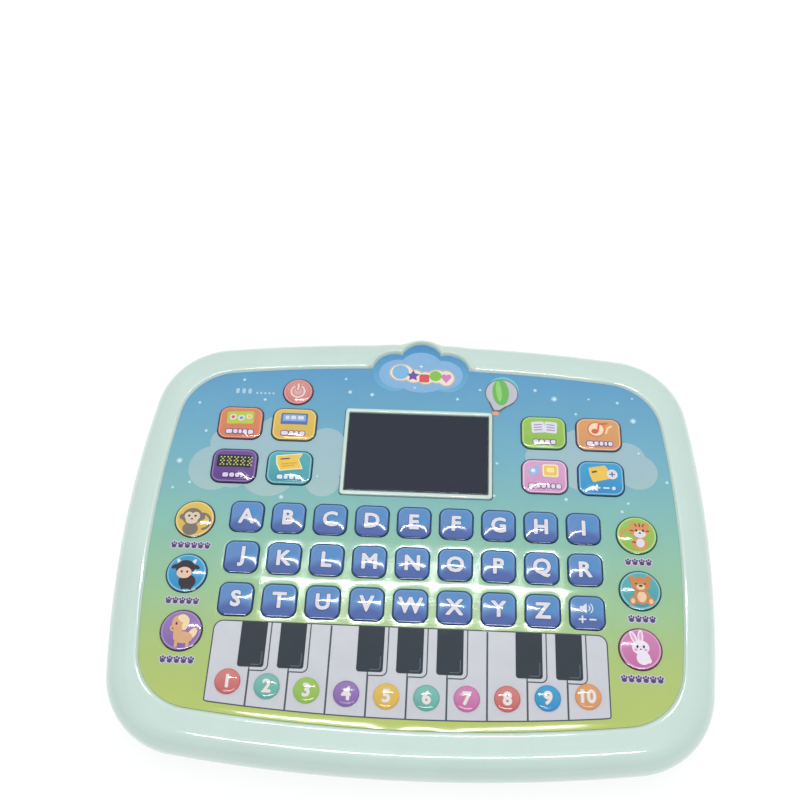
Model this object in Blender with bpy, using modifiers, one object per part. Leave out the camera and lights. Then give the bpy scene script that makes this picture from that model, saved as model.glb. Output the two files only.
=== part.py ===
"""A toy learning tablet, modelled as the separate pieces that it comes apart into.

Metres, +Z up. The toy lies on its back with its user at -Y. The origin is under the middle of the
casing, on the surface that its feet stand on. Every object is one closed solid.
"""

import math
from collections import namedtuple
from functools import partial

import bmesh
import bpy
from mathutils import Matrix

OBJECT_NAME = "toy_learning_tablet"
GAP = 0.0003  # clearance between neighbouring solids

# ---------------------------------------------------------------- driving dimensions

# A barrel outline is a rectangle with bulging sides: four long arcs joined by four corner arcs.
Outline = namedtuple("Outline", "half_x half_y side_radius end_radius corner_radius")
CASING = Outline(0.1200, 0.0950, 0.450, 0.680, 0.033)
SHEET = Outline(0.1065, 0.0791, 0.440, 0.700, 0.024)

# Heights above the surface that the feet stand on, from the bottom up.
FLOOR_UNDERSIDE = 0.0012
FLOOR_TOP = 0.0032
PARTING_LINE = 0.0140
TONGUE_TOP = 0.0160
WIDEST = 0.0175
DECK_UNDERSIDE = 0.0208
DECK_TOP = 0.0229
FILM_UNDERSIDE = 0.0232
FILM_TOP = 0.0235
SHEET_UNDERSIDE = 0.0239
SHEET_TOP = 0.0249
KEY_UNDERSIDE = 0.0243
KEY_SHOULDER = 0.0254
BEZEL_TOP = 0.0260
KEY_CROWN = 0.0260
SCREEN_RIM_TOP = 0.0258
BADGE_RIM_TOP = 0.0264

# How far a solid that is joined to another reaches into it.
ROOT = 0.0010

POCKET_WALL = 0.0022
BEZEL_UNDERSIDE = 0.0232
LIP_DEPTH = 0.0006
LIP_WIDTH = 0.0008
RIM_CORNER = 0.0012
BOARD_POST_RADIUS = 0.0025
ABOVE_ALL = 0.0300
BELOW_ALL = -0.0010

# Letter keys: nine columns and three rows.
COLUMN_PITCH = 0.01712
ROW_PITCH = 0.01780
LETTER_ROW_Y = -0.01335
LETTER_SIZE = 0.0136
LETTER_CORNER = 0.0034
LETTER_ROWS = (tuple("abcdefghi"), tuple("jklmnopqr"), tuple("stuvwxyz") + ("volume",))

# Mode keys: two columns of two on each side of the screen.
MODE_WIDTH = 0.0190
MODE_DEPTH = 0.0158
MODE_CORNER = 0.0042
MODE_X = (-0.0767, -0.0534, 0.0534, 0.0767)
MODE_Y = (0.0486, 0.0276)
MODE_COLOURS = (("orange", "yellow", "green", "apricot"), ("purple", "teal", "pink", "blue"))

# Round keys.
POWER_RADIUS = 0.0065
POWER_PLACE = (-0.0534, 0.0652)
ANIMAL_RADIUS = 0.0081
ANIMAL_PLACES = ((0.0897, 0.0024), (0.0895, -0.0212), (0.0880, -0.0448))
ANIMAL_COLOURS = {"left": ("yellow", "sky", "purple"), "right": ("green", "teal", "magenta")}
PIANO_RADIUS = 0.0049
KEY_SIDES = 12
PIANO_PITCH = 0.0150
PIANO_COUNT = 10
PIANO_MIDDLE_Y = -0.0669
PIANO_END_RISE = 0.0031
PIANO_COLOURS = (
    "coral", "teal", "green", "purple", "yellow", "teal", "magenta", "coral", "sky", "apricot"
)
SQUARE_EDGE_INSET = 0.0016
ROUND_EDGE_INSET = 0.0013

# Screen: a rim that stands up through the sheet, with the dark window let into it.
SCREEN_Y = 0.0368
RIM_SIZE = (0.0633, 0.0414)
WINDOW_SIZE = (0.0595, 0.0372)
LIGHT_OPENING = (0.0540, 0.0320)
WINDOW_UNDERSIDE = 0.0232
WINDOW_TOP = 0.0252

# Cloud badge, a dome between two lobes that run out of the sheet over the rear bezel.
DOME_CENTRE = (0.0, 0.0830)
DOME_RADIUS = 0.0092
LOBE_CENTRE = (0.0115, 0.0770)
LOBE_RADIUS = 0.0098
BADGE_RIM = 0.0015
FILM_INSET = 0.0015

# Straight steps in each arc, and sides of a small hole and of a foot or well.
HOLE_SIDES = 8
FOOT_SIDES = 10
SIDE_STEPS = 2
CORNER_STEPS = 6
END_STEPS = 3
LOBE_STEPS = 4
DOME_STEPS = 4

# Circuit board under the screen.
BOARD_SIZE = (0.0800, 0.0500)
BOARD_UNDERSIDE = 0.0150
BOARD_TOP = 0.0166
DISPLAY_SIZE = (0.0500, 0.0280)
DISPLAY_TOP = 0.0226
BOARD_POSTS = tuple((x, SCREEN_Y + y) for x in (-0.036, 0.036) for y in (-0.021, 0.021))

# Speaker, with its grille in the floor of the rear shell.
SPEAKER_PLACE = (-0.0660, 0.0220)
SPEAKER_RADIUS = 0.0180
SPEAKER_SIDES = 20
ON_AXIS = 0.00001
SPEAKER_FLANGE = 0.0015
SPEAKER_MAGNET_RADIUS = 0.0090
SPEAKER_HEIGHT = 0.0085
SPEAKER_NECK = 0.0051
COLLAR_WALL = 0.0014
COLLAR_TOP = 0.0062
GRILLE_HOLE_RADIUS = 0.0015
GRILLE_PITCH = 0.0052
GRILLE_RINGS = 2

# Battery bay for three AA cells that lie along X, and its door.
BAY_X = 0.0287
BAY_Y = (-0.0598, -0.0143)
BAY_CEILING = 0.0188
TUB_X = 0.0330
TUB_Y = (-0.0690, -0.0080)
TUB_TOP = 0.0203
LEDGE = 0.0035
DOOR_OPENING_X = 0.0310
DOOR_OPENING_Y = (-0.0660, -0.0110)
TAB_X = (-0.018, 0.018)
TAB_WIDTH = 0.0060
TAB_UNDERSIDE = 0.0035
TAB_TOP = 0.0047
TAB_REACH_Y = (-0.0140, -0.0096)
TAB_SLOT_TOP = 0.0059
TAB_ROOM = 0.0005
DOOR_HINGE = (0.0, -0.0112, FLOOR_UNDERSIDE)
DOOR_SCREW_PLACE = (0.0, -0.0630)
SCREW_HOLE_RADIUS = 0.0016
SCREW_HEAD_RADIUS = 0.0031
DOOR_RECESS_TOP = 0.0023
DOOR_SCREW_DEPTH = 0.0120

# Case screws: a well in the rear shell under a post of the front shell.
CASE_SCREWS = tuple((x, y) for y in (-0.066, 0.066) for x in (-0.094, 0.094)) + (
    (-0.100, 0.0),
    (0.100, 0.0),
)
WELL_RADIUS = 0.0046
WELL_TOP = 0.0077
WELL_SEAT = 0.0062
POST_RADIUS = 0.0035
POST_UNDERSIDE = WELL_TOP + GAP
PILOT_RADIUS = 0.0012
PILOT_TOP = 0.0160

FEET = tuple((x, y) for x in (-0.078, 0.078) for y in (-0.074, 0.074))
FOOT_RADIUS = 0.0055

# Colour, roughness and metallic value of each finish.
FINISHES = {
    "mint": ((0.60, 0.79, 0.72), 0.28, 0.0),
    "print": ((0.36, 0.62, 0.62), 0.20, 0.0),
    "film": ((0.85, 0.86, 0.80), 0.35, 0.0),
    "screen": ((0.035, 0.040, 0.050), 0.15, 0.0),
    "board": ((0.05, 0.25, 0.10), 0.45, 0.0),
    "speaker": ((0.03, 0.03, 0.03), 0.55, 0.0),
    "blue": ((0.08, 0.22, 0.62), 0.22, 0.0),
    "orange": ((0.86, 0.22, 0.10), 0.22, 0.0),
    "apricot": ((0.88, 0.33, 0.12), 0.22, 0.0),
    "yellow": ((0.85, 0.58, 0.14), 0.22, 0.0),
    "green": ((0.28, 0.62, 0.14), 0.22, 0.0),
    "purple": ((0.25, 0.10, 0.45), 0.22, 0.0),
    "teal": ((0.08, 0.48, 0.46), 0.22, 0.0),
    "pink": ((0.80, 0.30, 0.55), 0.22, 0.0),
    "magenta": ((0.75, 0.15, 0.50), 0.22, 0.0),
    "coral": ((0.78, 0.10, 0.10), 0.22, 0.0),
    "sky": ((0.06, 0.45, 0.80), 0.22, 0.0),
}

# ---------------------------------------------------------------- outlines


def grown(outline, amount):
    """The parallel outline that lies the amount outside this one, or inside it if negative."""
    return Outline(*(value + amount for value in outline))


def arc(centre, radius, start, end, steps):
    """Points along an arc, from its start angle up to but not including its end angle."""
    angles = [start + (end - start) * step / steps for step in range(steps)]
    return [
        (centre[0] + radius * math.cos(angle), centre[1] + radius * math.sin(angle))
        for angle in angles
    ]


def meeting(first, first_radius, second, second_radius):
    """Where two circles meet, to the right of the way from the first centre to the second."""
    across = math.dist(first, second)
    along = (first_radius**2 - second_radius**2 + across**2) / (2 * across)
    off = math.sqrt(first_radius**2 - along**2)
    unit = [(second[k] - first[k]) / across for k in (0, 1)]
    return (
        first[0] + along * unit[0] + off * unit[1],
        first[1] + along * unit[1] - off * unit[0],
    )


def bearing(centre, point):
    return math.atan2(point[1] - centre[1], point[0] - centre[0])


def quarter_of(outline):
    """Points of the side and corner arcs in the +X +Y quarter, and where the end arc starts."""
    side = (outline.half_x - outline.side_radius, 0.0)
    end = (0.0, outline.half_y - outline.end_radius)
    side_reach = outline.side_radius - outline.corner_radius
    end_reach = outline.end_radius - outline.corner_radius
    corner = meeting(end, end_reach, side, side_reach)
    side_end = bearing(side, corner)
    corner_end = bearing(end, corner)
    points = arc(side, outline.side_radius, 0.0, side_end, SIDE_STEPS)
    points += arc(corner, outline.corner_radius, side_end, corner_end, CORNER_STEPS)
    return points, end, corner_end


def half_of(quarter, middle):
    """The half above Y = 0, from a quarter and the point on the Y axis that it leads to."""
    return quarter + [middle] + [(-x, y) for x, y in reversed(quarter)]


def upper_half(outline):
    points, end, start = quarter_of(outline)
    points += arc(end, outline.end_radius, start, math.pi / 2, END_STEPS)
    return half_of(points, (0.0, outline.half_y))


def closed(upper, lower):
    """The whole outline, with the lower half given as it looks when turned round to the top."""
    return upper[:-1] + [(-x, -y) for x, y in lower[:-1]]


def barrel(outline):
    """Points of a barrel outline, counter-clockwise from the middle of its +X side."""
    half = upper_half(outline)
    return closed(half, half)


def badge_arcs(start, growth):
    """The badge's +X half: the side lobe from a start angle, then half of the dome."""
    lobe_radius = LOBE_RADIUS + growth
    dome_radius = DOME_RADIUS + growth
    notch = meeting(LOBE_CENTRE, lobe_radius, DOME_CENTRE, dome_radius)
    points = arc(LOBE_CENTRE, lobe_radius, start, bearing(LOBE_CENTRE, notch), LOBE_STEPS)
    points += arc(DOME_CENTRE, dome_radius, bearing(DOME_CENTRE, notch), math.pi / 2, DOME_STEPS)
    return half_of(points, (0.0, DOME_CENTRE[1] + dome_radius))


def badge(growth):
    """The badge's outline on its own, closed straight across under its two lobes."""
    return badge_arcs(-math.pi / 2, growth)


def sheet_outline(growth=0.0):
    """The sheet's outline, with the badge running out of it over the rear bezel."""
    outline = grown(SHEET, growth)
    points, end, start = quarter_of(outline)
    branch = meeting(end, outline.end_radius, LOBE_CENTRE, LOBE_RADIUS + growth)
    points += arc(end, outline.end_radius, start, bearing(end, branch), END_STEPS)
    half_badge = badge_arcs(bearing(LOBE_CENTRE, branch), growth)
    upper = points + half_badge + [(-x, y) for x, y in reversed(points)]
    return closed(upper, upper_half(outline))


def rounded_rectangle(width, depth, radius, corner_steps=2):
    points = []
    for turn, (side_x, side_y) in enumerate(((1, 1), (-1, 1), (-1, -1), (1, -1))):
        centre = (side_x * (width / 2 - radius), side_y * (depth / 2 - radius))
        start = turn * math.pi / 2
        points += arc(centre, radius, start, start + math.pi / 2, corner_steps)
        end = start + math.pi / 2
        points.append((centre[0] + radius * math.cos(end), centre[1] + radius * math.sin(end)))
    return points


# ---------------------------------------------------------------- solids


def emptied_scene():
    for obj in list(bpy.data.objects):
        bpy.data.objects.remove(obj)
    collections = []
    for name in (OBJECT_NAME, "helpers"):
        collection = bpy.data.collections.new(name)
        bpy.context.scene.collection.children.link(collection)
        collections.append(collection)
    return collections


PIECES, HELPERS = emptied_scene()


def add_loft(bm, rings):
    """A closed solid through rings of equally many points, capped at the first and last.

    The rings run counter-clockwise, and on from the underside, round the outside, to the top.
    """
    loops = [[bm.verts.new(point) for point in ring] for ring in rings]
    for low, high in zip(loops, loops[1:]):
        for here in range(len(low)):
            after = (here + 1) % len(low)
            bm.faces.new((low[here], low[after], high[after], high[here]))
    bm.faces.new(reversed(loops[0]))
    bm.faces.new(loops[-1])


def add_box(bm, size, middle):
    scale = Matrix.Diagonal((*size, 1.0))
    bmesh.ops.create_cube(bm, size=1.0, matrix=Matrix.Translation(middle) @ scale)


def add_cylinder(bm, radius, depth, middle, sides):
    bmesh.ops.create_cone(
        bm,
        cap_ends=True,
        segments=sides,
        radius1=radius,
        radius2=radius,
        depth=depth,
        matrix=Matrix.Translation(middle),
    )


def at_height(points, height, place=(0.0, 0.0)):
    return [(x + place[0], y + place[1], height) for x, y in points]


# Each of these gives a function that adds its solid to a bmesh, for make_object and combine.


def loft(rings):
    return partial(add_loft, rings=rings)


def prism(points, low, high, place=(0.0, 0.0)):
    return loft([at_height(points, low, place), at_height(points, high, place)])


def box(width, depth, low, high, place=(0.0, 0.0)):
    middle = (*place, (low + high) / 2)
    return partial(add_box, size=(width, depth, high - low), middle=middle)


def cylinder(radius, low, high, place=(0.0, 0.0), sides=HOLE_SIDES):
    middle = (*place, (low + high) / 2)
    return partial(add_cylinder, radius=radius, depth=high - low, middle=middle, sides=sides)


def finish_of(name):
    material = bpy.data.materials.get(name)
    if material is None:
        colour, roughness, metallic = FINISHES[name]
        material = bpy.data.materials.new(name)
        material.use_nodes = True
        shader = material.node_tree.nodes["Principled BSDF"]
        shader.inputs["Base Color"].default_value = (*colour, 1.0)
        shader.inputs["Roughness"].default_value = roughness
        shader.inputs["Metallic"].default_value = metallic
        material.diffuse_color = (*colour, 1.0)
    return material


def make_object(name, solids, collection, location=(0.0, 0.0, 0.0)):
    """An object of one or more solids, placed in the object's own frame."""
    bm = bmesh.new()
    for add_solid in solids:
        add_solid(bm)
    mesh = bpy.data.meshes.new(name)
    bm.to_mesh(mesh)
    bm.free()
    obj = bpy.data.objects.new(name, mesh)
    obj.location = location
    collection.objects.link(obj)
    return obj


def make_piece(name, solids, finish, location=(0.0, 0.0, 0.0)):
    piece = make_object(name, solids, PIECES, location)
    piece.data.materials.append(finish_of(finish))
    return piece


def combine(target, operation, name, *solids):
    """Joins solids to the target or cuts them from it. Those in one call don't touch each other."""
    helper = make_object(f"{target.name}_{name}", solids, HELPERS)
    helper.hide_render = True
    helper.display_type = "WIRE"
    change = target.modifiers.new(name, "BOOLEAN")
    change.operation = operation
    change.solver = "EXACT"
    change.object = helper


def span(low, high):
    return high - low, (low + high) / 2


# ---------------------------------------------------------------- keys


def key_places():
    """Every key as (name, kind, x, y, finish)."""
    keys = []
    for row, names in enumerate(LETTER_ROWS):
        for column, name in enumerate(names):
            x = (column - 4) * COLUMN_PITCH
            y = LETTER_ROW_Y + (1 - row) * ROW_PITCH
            keys.append((f"key_{name}", "letter", x, y, "blue"))
    for y, colours in zip(MODE_Y, MODE_COLOURS):
        for x, colour in zip(MODE_X, colours):
            keys.append((f"mode_key_{colour}", "mode", x, y, colour))
    for side, sign in (("left", -1), ("right", 1)):
        places = zip(ANIMAL_PLACES, ANIMAL_COLOURS[side])
        for number, ((x, y), colour) in enumerate(places, 1):
            keys.append((f"animal_key_{side}_{number}", "animal", sign * x, y, colour))
    keys.append(("power_key", "power", *POWER_PLACE, "coral"))
    half_run = (PIANO_COUNT - 1) / 2 * PIANO_PITCH
    for number, colour in enumerate(PIANO_COLOURS, 1):
        x = (number - 1) * PIANO_PITCH - half_run
        y = PIANO_MIDDLE_Y + PIANO_END_RISE * (x / half_run) ** 2
        keys.append((f"piano_key_{number}", "piano", x, y, colour))
    return keys


SQUARE_KEYS = {
    "letter": (LETTER_SIZE, LETTER_SIZE, LETTER_CORNER),
    "mode": (MODE_WIDTH, MODE_DEPTH, MODE_CORNER),
}
ROUND_KEYS = {"animal": ANIMAL_RADIUS, "power": POWER_RADIUS, "piano": PIANO_RADIUS}


def key_opening(kind, place):
    """The hole in the sheet round a key."""
    if kind in ROUND_KEYS:
        return cylinder(ROUND_KEYS[kind] + GAP, BELOW_ALL, ABOVE_ALL, place, KEY_SIDES)
    width, depth, corner = SQUARE_KEYS[kind]
    outline = rounded_rectangle(width + 2 * GAP, depth + 2 * GAP, corner + GAP)
    return prism(outline, BELOW_ALL, ABOVE_ALL, place)


def add_key(bm, kind):
    """A low cap round its own slide axis: a block or a cylinder with its top rim turned down."""
    low, high = KEY_UNDERSIDE - SHEET_TOP, KEY_CROWN - SHEET_TOP
    if kind in ROUND_KEYS:
        inset = ROUND_EDGE_INSET
        cylinder(ROUND_KEYS[kind], low, high, sides=KEY_SIDES)(bm)
    else:
        inset = SQUARE_EDGE_INSET
        width, depth, corner = SQUARE_KEYS[kind]
        box(width, depth, low, high)(bm)
        upright = [edge for edge in bm.edges if edge.verts[0].co.xy == edge.verts[1].co.xy]
        bmesh.ops.bevel(
            bm, geom=upright, offset=corner, segments=2, profile=0.5, affect="EDGES"
        )
    top = max(bm.faces, key=lambda face: face.calc_center_median().z)
    bmesh.ops.inset_region(bm, faces=[top], thickness=inset, use_even_offset=True)
    for vert in bm.verts:
        if vert.co.z > 0.0 and vert not in top.verts:
            vert.co.z = KEY_SHOULDER - SHEET_TOP


def make_keys():
    """Low domes, each with its origin on its own slide axis, at the height of the sheet's top."""
    for name, kind, x, y, finish in key_places():
        make_piece(name, [partial(add_key, kind=kind)], finish, (x, y, SHEET_TOP))


# ---------------------------------------------------------------- casing


def make_front_shell():
    """The bezel and its side wall, with a sunk deck that the film, the sheet and the keys lie on."""
    pocket = grown(SHEET, GAP)
    # Each ring is (outline, height), from the deck's underside, round the wall, to the bezel's top.
    rings = (
        (grown(pocket, POCKET_WALL), DECK_UNDERSIDE),
        (grown(pocket, POCKET_WALL), BEZEL_UNDERSIDE),
        (grown(CASING, -0.0050), BEZEL_UNDERSIDE),
        (grown(CASING, -0.0024), WIDEST),
        (grown(CASING, -0.0026), PARTING_LINE),
        (grown(CASING, -0.0004), PARTING_LINE),
        (CASING, WIDEST),
        (grown(CASING, -0.0008), 0.0210),
        (grown(CASING, -0.0028), 0.0238),
        (grown(CASING, -0.0055), 0.0253),
        (grown(CASING, -0.0085), 0.0258),
        (grown(pocket, 0.0015), BEZEL_TOP),
    )
    outlines = [at_height(barrel(outline), height) for outline, height in rings]
    shell = make_piece("front_shell", [loft(outlines)], "mint")
    boss = prism(badge(GAP + BADGE_RIM), DECK_UNDERSIDE + ROOT, BADGE_RIM_TOP)
    combine(shell, "UNION", "badge_boss", boss)
    screen = (0.0, SCREEN_Y)
    lip = BEZEL_TOP - LIP_DEPTH
    recess = [
        at_height(sheet_outline(GAP), DECK_TOP),
        at_height(sheet_outline(GAP), lip),
        at_height(sheet_outline(GAP + LIP_WIDTH), BEZEL_TOP),
        at_height(sheet_outline(GAP + LIP_WIDTH), ABOVE_ALL),
    ]
    combine(shell, "DIFFERENCE", "sheet_recess", loft(recess))
    rim = rounded_rectangle(*RIM_SIZE, RIM_CORNER, 1)
    combine(shell, "UNION", "screen_rim", prism(rim, DECK_TOP - ROOT, SCREEN_RIM_TOP, screen))
    width, depth = (side + 2 * GAP for side in WINDOW_SIZE)
    combine(shell, "DIFFERENCE", "window_seat", box(width, depth, DECK_TOP, ABOVE_ALL, screen))
    light = box(*LIGHT_OPENING, BELOW_ALL, ABOVE_ALL, screen)
    combine(shell, "DIFFERENCE", "light_opening", light)
    rooted = DECK_UNDERSIDE + ROOT
    board_post = (BOARD_POST_RADIUS, BOARD_TOP + GAP, rooted)
    posts = [cylinder(POST_RADIUS, POST_UNDERSIDE, rooted, place) for place in CASE_SCREWS]
    posts += [cylinder(*board_post, place) for place in BOARD_POSTS]
    combine(shell, "UNION", "posts", *posts)
    pilots = [cylinder(PILOT_RADIUS, BELOW_ALL, PILOT_TOP, place) for place in CASE_SCREWS]
    combine(shell, "DIFFERENCE", "pilot_holes", *pilots)


def grille_places():
    """A hexagonal patch of holes, ring by ring round the speaker's axis."""
    places = [SPEAKER_PLACE]
    for ring in range(1, GRILLE_RINGS + 1):
        radius = ring * GRILLE_PITCH
        for turn in range(6 * ring):
            angle = 2 * math.pi * turn / (6 * ring)
            x = SPEAKER_PLACE[0] + radius * math.cos(angle)
            places.append((x, SPEAKER_PLACE[1] + radius * math.sin(angle)))
    return places


def make_rear_shell():
    """A tapered tray with a tongue inside the front shell, the battery tub, screw wells and feet."""
    # Each ring is (inset from the casing's outline, height), from the floor's underside to its top.
    rings = (
        (0.0095, FLOOR_UNDERSIDE),
        (0.0068, 0.0020),
        (0.0048, 0.0042),
        (0.0016, 0.0100),
        (0.0005, PARTING_LINE - GAP),
        (0.0029, PARTING_LINE - GAP),
        (0.0029, TONGUE_TOP),
        (0.0042, TONGUE_TOP),
        (0.0042, 0.0115),
        (0.0072, 0.0046),
        (0.0115, FLOOR_TOP),
    )
    outlines = [at_height(barrel(grown(CASING, -inset)), height) for inset, height in rings]
    shell = make_piece("rear_shell", [loft(outlines)], "mint")
    inside_floor = (FLOOR_UNDERSIDE + FLOOR_TOP) / 2
    cut_battery_bay(shell, inside_floor)

    cup = SPEAKER_RADIUS + GAP
    collar = cylinder(cup + COLLAR_WALL, inside_floor, COLLAR_TOP, SPEAKER_PLACE, SPEAKER_SIDES)
    room = cylinder(cup, FLOOR_TOP, ABOVE_ALL, SPEAKER_PLACE, SPEAKER_SIDES)
    combine(shell, "UNION", "speaker_collar", collar)
    combine(shell, "DIFFERENCE", "speaker_cup", room)
    holes = [
        cylinder(GRILLE_HOLE_RADIUS, BELOW_ALL, FLOOR_TOP + GAP, place) for place in grille_places()
    ]
    combine(shell, "DIFFERENCE", "speaker_grille", *holes)

    wells = [cylinder(WELL_RADIUS, inside_floor, WELL_TOP, place, FOOT_SIDES) for place in CASE_SCREWS]
    combine(shell, "UNION", "screw_wells", *wells)
    sinks = [cylinder(SCREW_HEAD_RADIUS, BELOW_ALL, WELL_SEAT, place) for place in CASE_SCREWS]
    combine(shell, "DIFFERENCE", "screw_sinks", *sinks)
    holes = [cylinder(SCREW_HOLE_RADIUS, BELOW_ALL, ABOVE_ALL, place) for place in CASE_SCREWS]
    combine(shell, "DIFFERENCE", "screw_holes", *holes)
    feet = [cylinder(FOOT_RADIUS, 0.0, inside_floor, place, FOOT_SIDES) for place in FEET]
    combine(shell, "UNION", "feet", *feet)


def cut_battery_bay(shell, inside_floor):
    """The tub that holds the cells, open to the underside, with a ledge for the door."""
    depth, y = span(*TUB_Y)
    tub = box(2 * TUB_X, depth, inside_floor, TUB_TOP, (0.0, y))
    combine(shell, "UNION", "battery_tub", tub)
    depth, y = span(*DOOR_OPENING_Y)
    opening = box(2 * DOOR_OPENING_X, depth, BELOW_ALL, LEDGE, (0.0, y))
    combine(shell, "DIFFERENCE", "door_opening", opening)
    depth, y = span(*BAY_Y)
    bay = box(2 * BAY_X, depth, BELOW_ALL, BAY_CEILING, (0.0, y))
    combine(shell, "DIFFERENCE", "battery_bay", bay)
    depth, y = span(TAB_REACH_Y[0] - TAB_ROOM, TAB_REACH_Y[1] + TAB_ROOM)
    width = TAB_WIDTH + 2 * GAP
    slots = [box(width, depth, FLOOR_TOP, TAB_SLOT_TOP, (x, y)) for x in TAB_X]
    combine(shell, "DIFFERENCE", "tab_slots", *slots)
    hole = cylinder(SCREW_HOLE_RADIUS, BELOW_ALL, DOOR_SCREW_DEPTH, DOOR_SCREW_PLACE)
    combine(shell, "DIFFERENCE", "door_screw_hole", hole)


def make_battery_door():
    """A flush plate that swings out on two tabs, with its origin on that edge of its outer face."""
    width = 2 * (DOOR_OPENING_X - GAP)
    depth, y = span(DOOR_OPENING_Y[0] + GAP, DOOR_OPENING_Y[1] - GAP)
    plate = box(width, depth, 0.0, FLOOR_TOP - FLOOR_UNDERSIDE, (0.0, y - DOOR_HINGE[1]))
    door = make_piece("battery_door", [plate], "mint", DOOR_HINGE)
    inside = FLOOR_TOP - ROOT
    overlap = TAB_UNDERSIDE + ROOT / 2
    depth, y = span(TAB_REACH_Y[0], DOOR_OPENING_Y[1] - 2 * GAP)
    roots = [box(TAB_WIDTH, depth, inside, overlap, (x, y)) for x in TAB_X]
    combine(door, "UNION", "tab_roots", *roots)
    depth, y = span(*TAB_REACH_Y)
    hooks = [box(TAB_WIDTH, depth, TAB_UNDERSIDE, TAB_TOP, (x, y)) for x in TAB_X]
    combine(door, "UNION", "tab_hooks", *hooks)
    recess = cylinder(SCREW_HEAD_RADIUS, BELOW_ALL, DOOR_RECESS_TOP, DOOR_SCREW_PLACE, FOOT_SIDES)
    combine(door, "DIFFERENCE", "screw_recess", recess)
    hole = cylinder(SCREW_HOLE_RADIUS, BELOW_ALL, ABOVE_ALL, DOOR_SCREW_PLACE)
    combine(door, "DIFFERENCE", "screw_hole", hole)


# ---------------------------------------------------------------- sheet, film and electronics


def make_graphic_overlay():
    """The printed sheet, with its cloud badge, an opening for each key and one for the screen rim."""
    outline = prism(sheet_outline(), SHEET_UNDERSIDE, SHEET_TOP)
    sheet = make_piece("graphic_overlay", [outline], "print")
    width, depth = (side + 2 * GAP for side in RIM_SIZE)
    openings = [box(width, depth, BELOW_ALL, ABOVE_ALL, (0.0, SCREEN_Y))]
    openings += [key_opening(kind, (x, y)) for _, kind, x, y, _ in key_places()]
    combine(sheet, "DIFFERENCE", "openings", *openings)


def make_switch_film():
    """The film whose contacts the keys press, between the sheet and the deck."""
    outline = prism(barrel(grown(SHEET, -FILM_INSET)), FILM_UNDERSIDE, FILM_TOP)
    film = make_piece("switch_film", [outline], "film")
    width, depth = (side + 4 * GAP for side in RIM_SIZE)
    opening = box(width, depth, BELOW_ALL, ABOVE_ALL, (0.0, SCREEN_Y))
    combine(film, "DIFFERENCE", "screen_opening", opening)


def make_screen_window():
    plate = box(*WINDOW_SIZE, WINDOW_UNDERSIDE, WINDOW_TOP, (0.0, SCREEN_Y))
    make_piece("screen_window", [plate], "screen")


def make_circuit_board():
    """The board, with its display standing up into the opening under the window."""
    place = (0.0, SCREEN_Y)
    plate = box(*BOARD_SIZE, BOARD_UNDERSIDE, BOARD_TOP, place)
    board = make_piece("circuit_board", [plate], "board")
    inside = (BOARD_UNDERSIDE + BOARD_TOP) / 2
    combine(board, "UNION", "display", box(*DISPLAY_SIZE, inside, DISPLAY_TOP, place))


def make_speaker():
    """A turned shape: a flange on the floor, a cone behind it and the magnet on top."""
    profile = (
        (0.0, SPEAKER_HEIGHT),
        (SPEAKER_MAGNET_RADIUS, SPEAKER_HEIGHT),
        (SPEAKER_MAGNET_RADIUS, SPEAKER_NECK),
        (SPEAKER_RADIUS, SPEAKER_FLANGE),
        (SPEAKER_RADIUS, 0.0),
        (0.0, 0.0),
    )
    speaker = make_piece("speaker", [], "speaker", (*SPEAKER_PLACE, FLOOR_TOP + GAP))
    points = [(radius, 0.0, height) for radius, height in profile]
    edges = [(k, k + 1) for k in range(len(points) - 1)]
    speaker.data.from_pydata(points, edges, [])
    turned = speaker.modifiers.new("turned", "SCREW")
    turned.steps = SPEAKER_SIDES
    turned.render_steps = SPEAKER_SIDES
    turned.use_merge_vertices = True
    turned.merge_threshold = ON_AXIS


make_front_shell()
make_rear_shell()
make_battery_door()
make_graphic_overlay()
make_switch_film()
make_screen_window()
make_circuit_board()
make_speaker()
make_keys()
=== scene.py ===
"""The looks of the toy learning tablet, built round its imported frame.

This script's own geometry is in millimetres. add_mesh turns it into metres.
"""

import functools
import math

import bpy
import numpy as np
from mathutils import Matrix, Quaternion, Vector
from mathutils.geometry import delaunay_2d_cdt


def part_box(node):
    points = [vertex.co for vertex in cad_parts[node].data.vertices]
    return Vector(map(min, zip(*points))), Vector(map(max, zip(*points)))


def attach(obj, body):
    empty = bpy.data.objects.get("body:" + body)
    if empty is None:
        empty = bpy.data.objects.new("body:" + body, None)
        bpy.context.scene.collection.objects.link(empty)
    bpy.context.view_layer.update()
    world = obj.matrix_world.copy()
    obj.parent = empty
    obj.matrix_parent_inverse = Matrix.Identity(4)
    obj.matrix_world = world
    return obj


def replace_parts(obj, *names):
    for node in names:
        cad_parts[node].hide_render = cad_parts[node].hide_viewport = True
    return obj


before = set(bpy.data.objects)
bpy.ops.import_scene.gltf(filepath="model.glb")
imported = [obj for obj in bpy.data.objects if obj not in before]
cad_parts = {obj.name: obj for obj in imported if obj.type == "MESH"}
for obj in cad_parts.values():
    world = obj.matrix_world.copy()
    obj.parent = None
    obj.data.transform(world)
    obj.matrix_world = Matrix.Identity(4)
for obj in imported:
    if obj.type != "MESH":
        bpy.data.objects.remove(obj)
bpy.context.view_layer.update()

MM = 0.001
FULL_TURN = 2 * math.pi


def box_mm(node):
    """The lowest and highest corner of a CAD node, in millimetres."""
    low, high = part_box(node)
    return low / MM, high / MM


# ---------------------------------------------------------------- driving dimensions

SHELL_HIGH = box_mm("front_shell")[1]
SHEET_LOW, SHEET_HIGH = box_mm("graphic_overlay")
RIM_LOW, RIM_HIGH = box_mm("screen_window")

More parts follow.
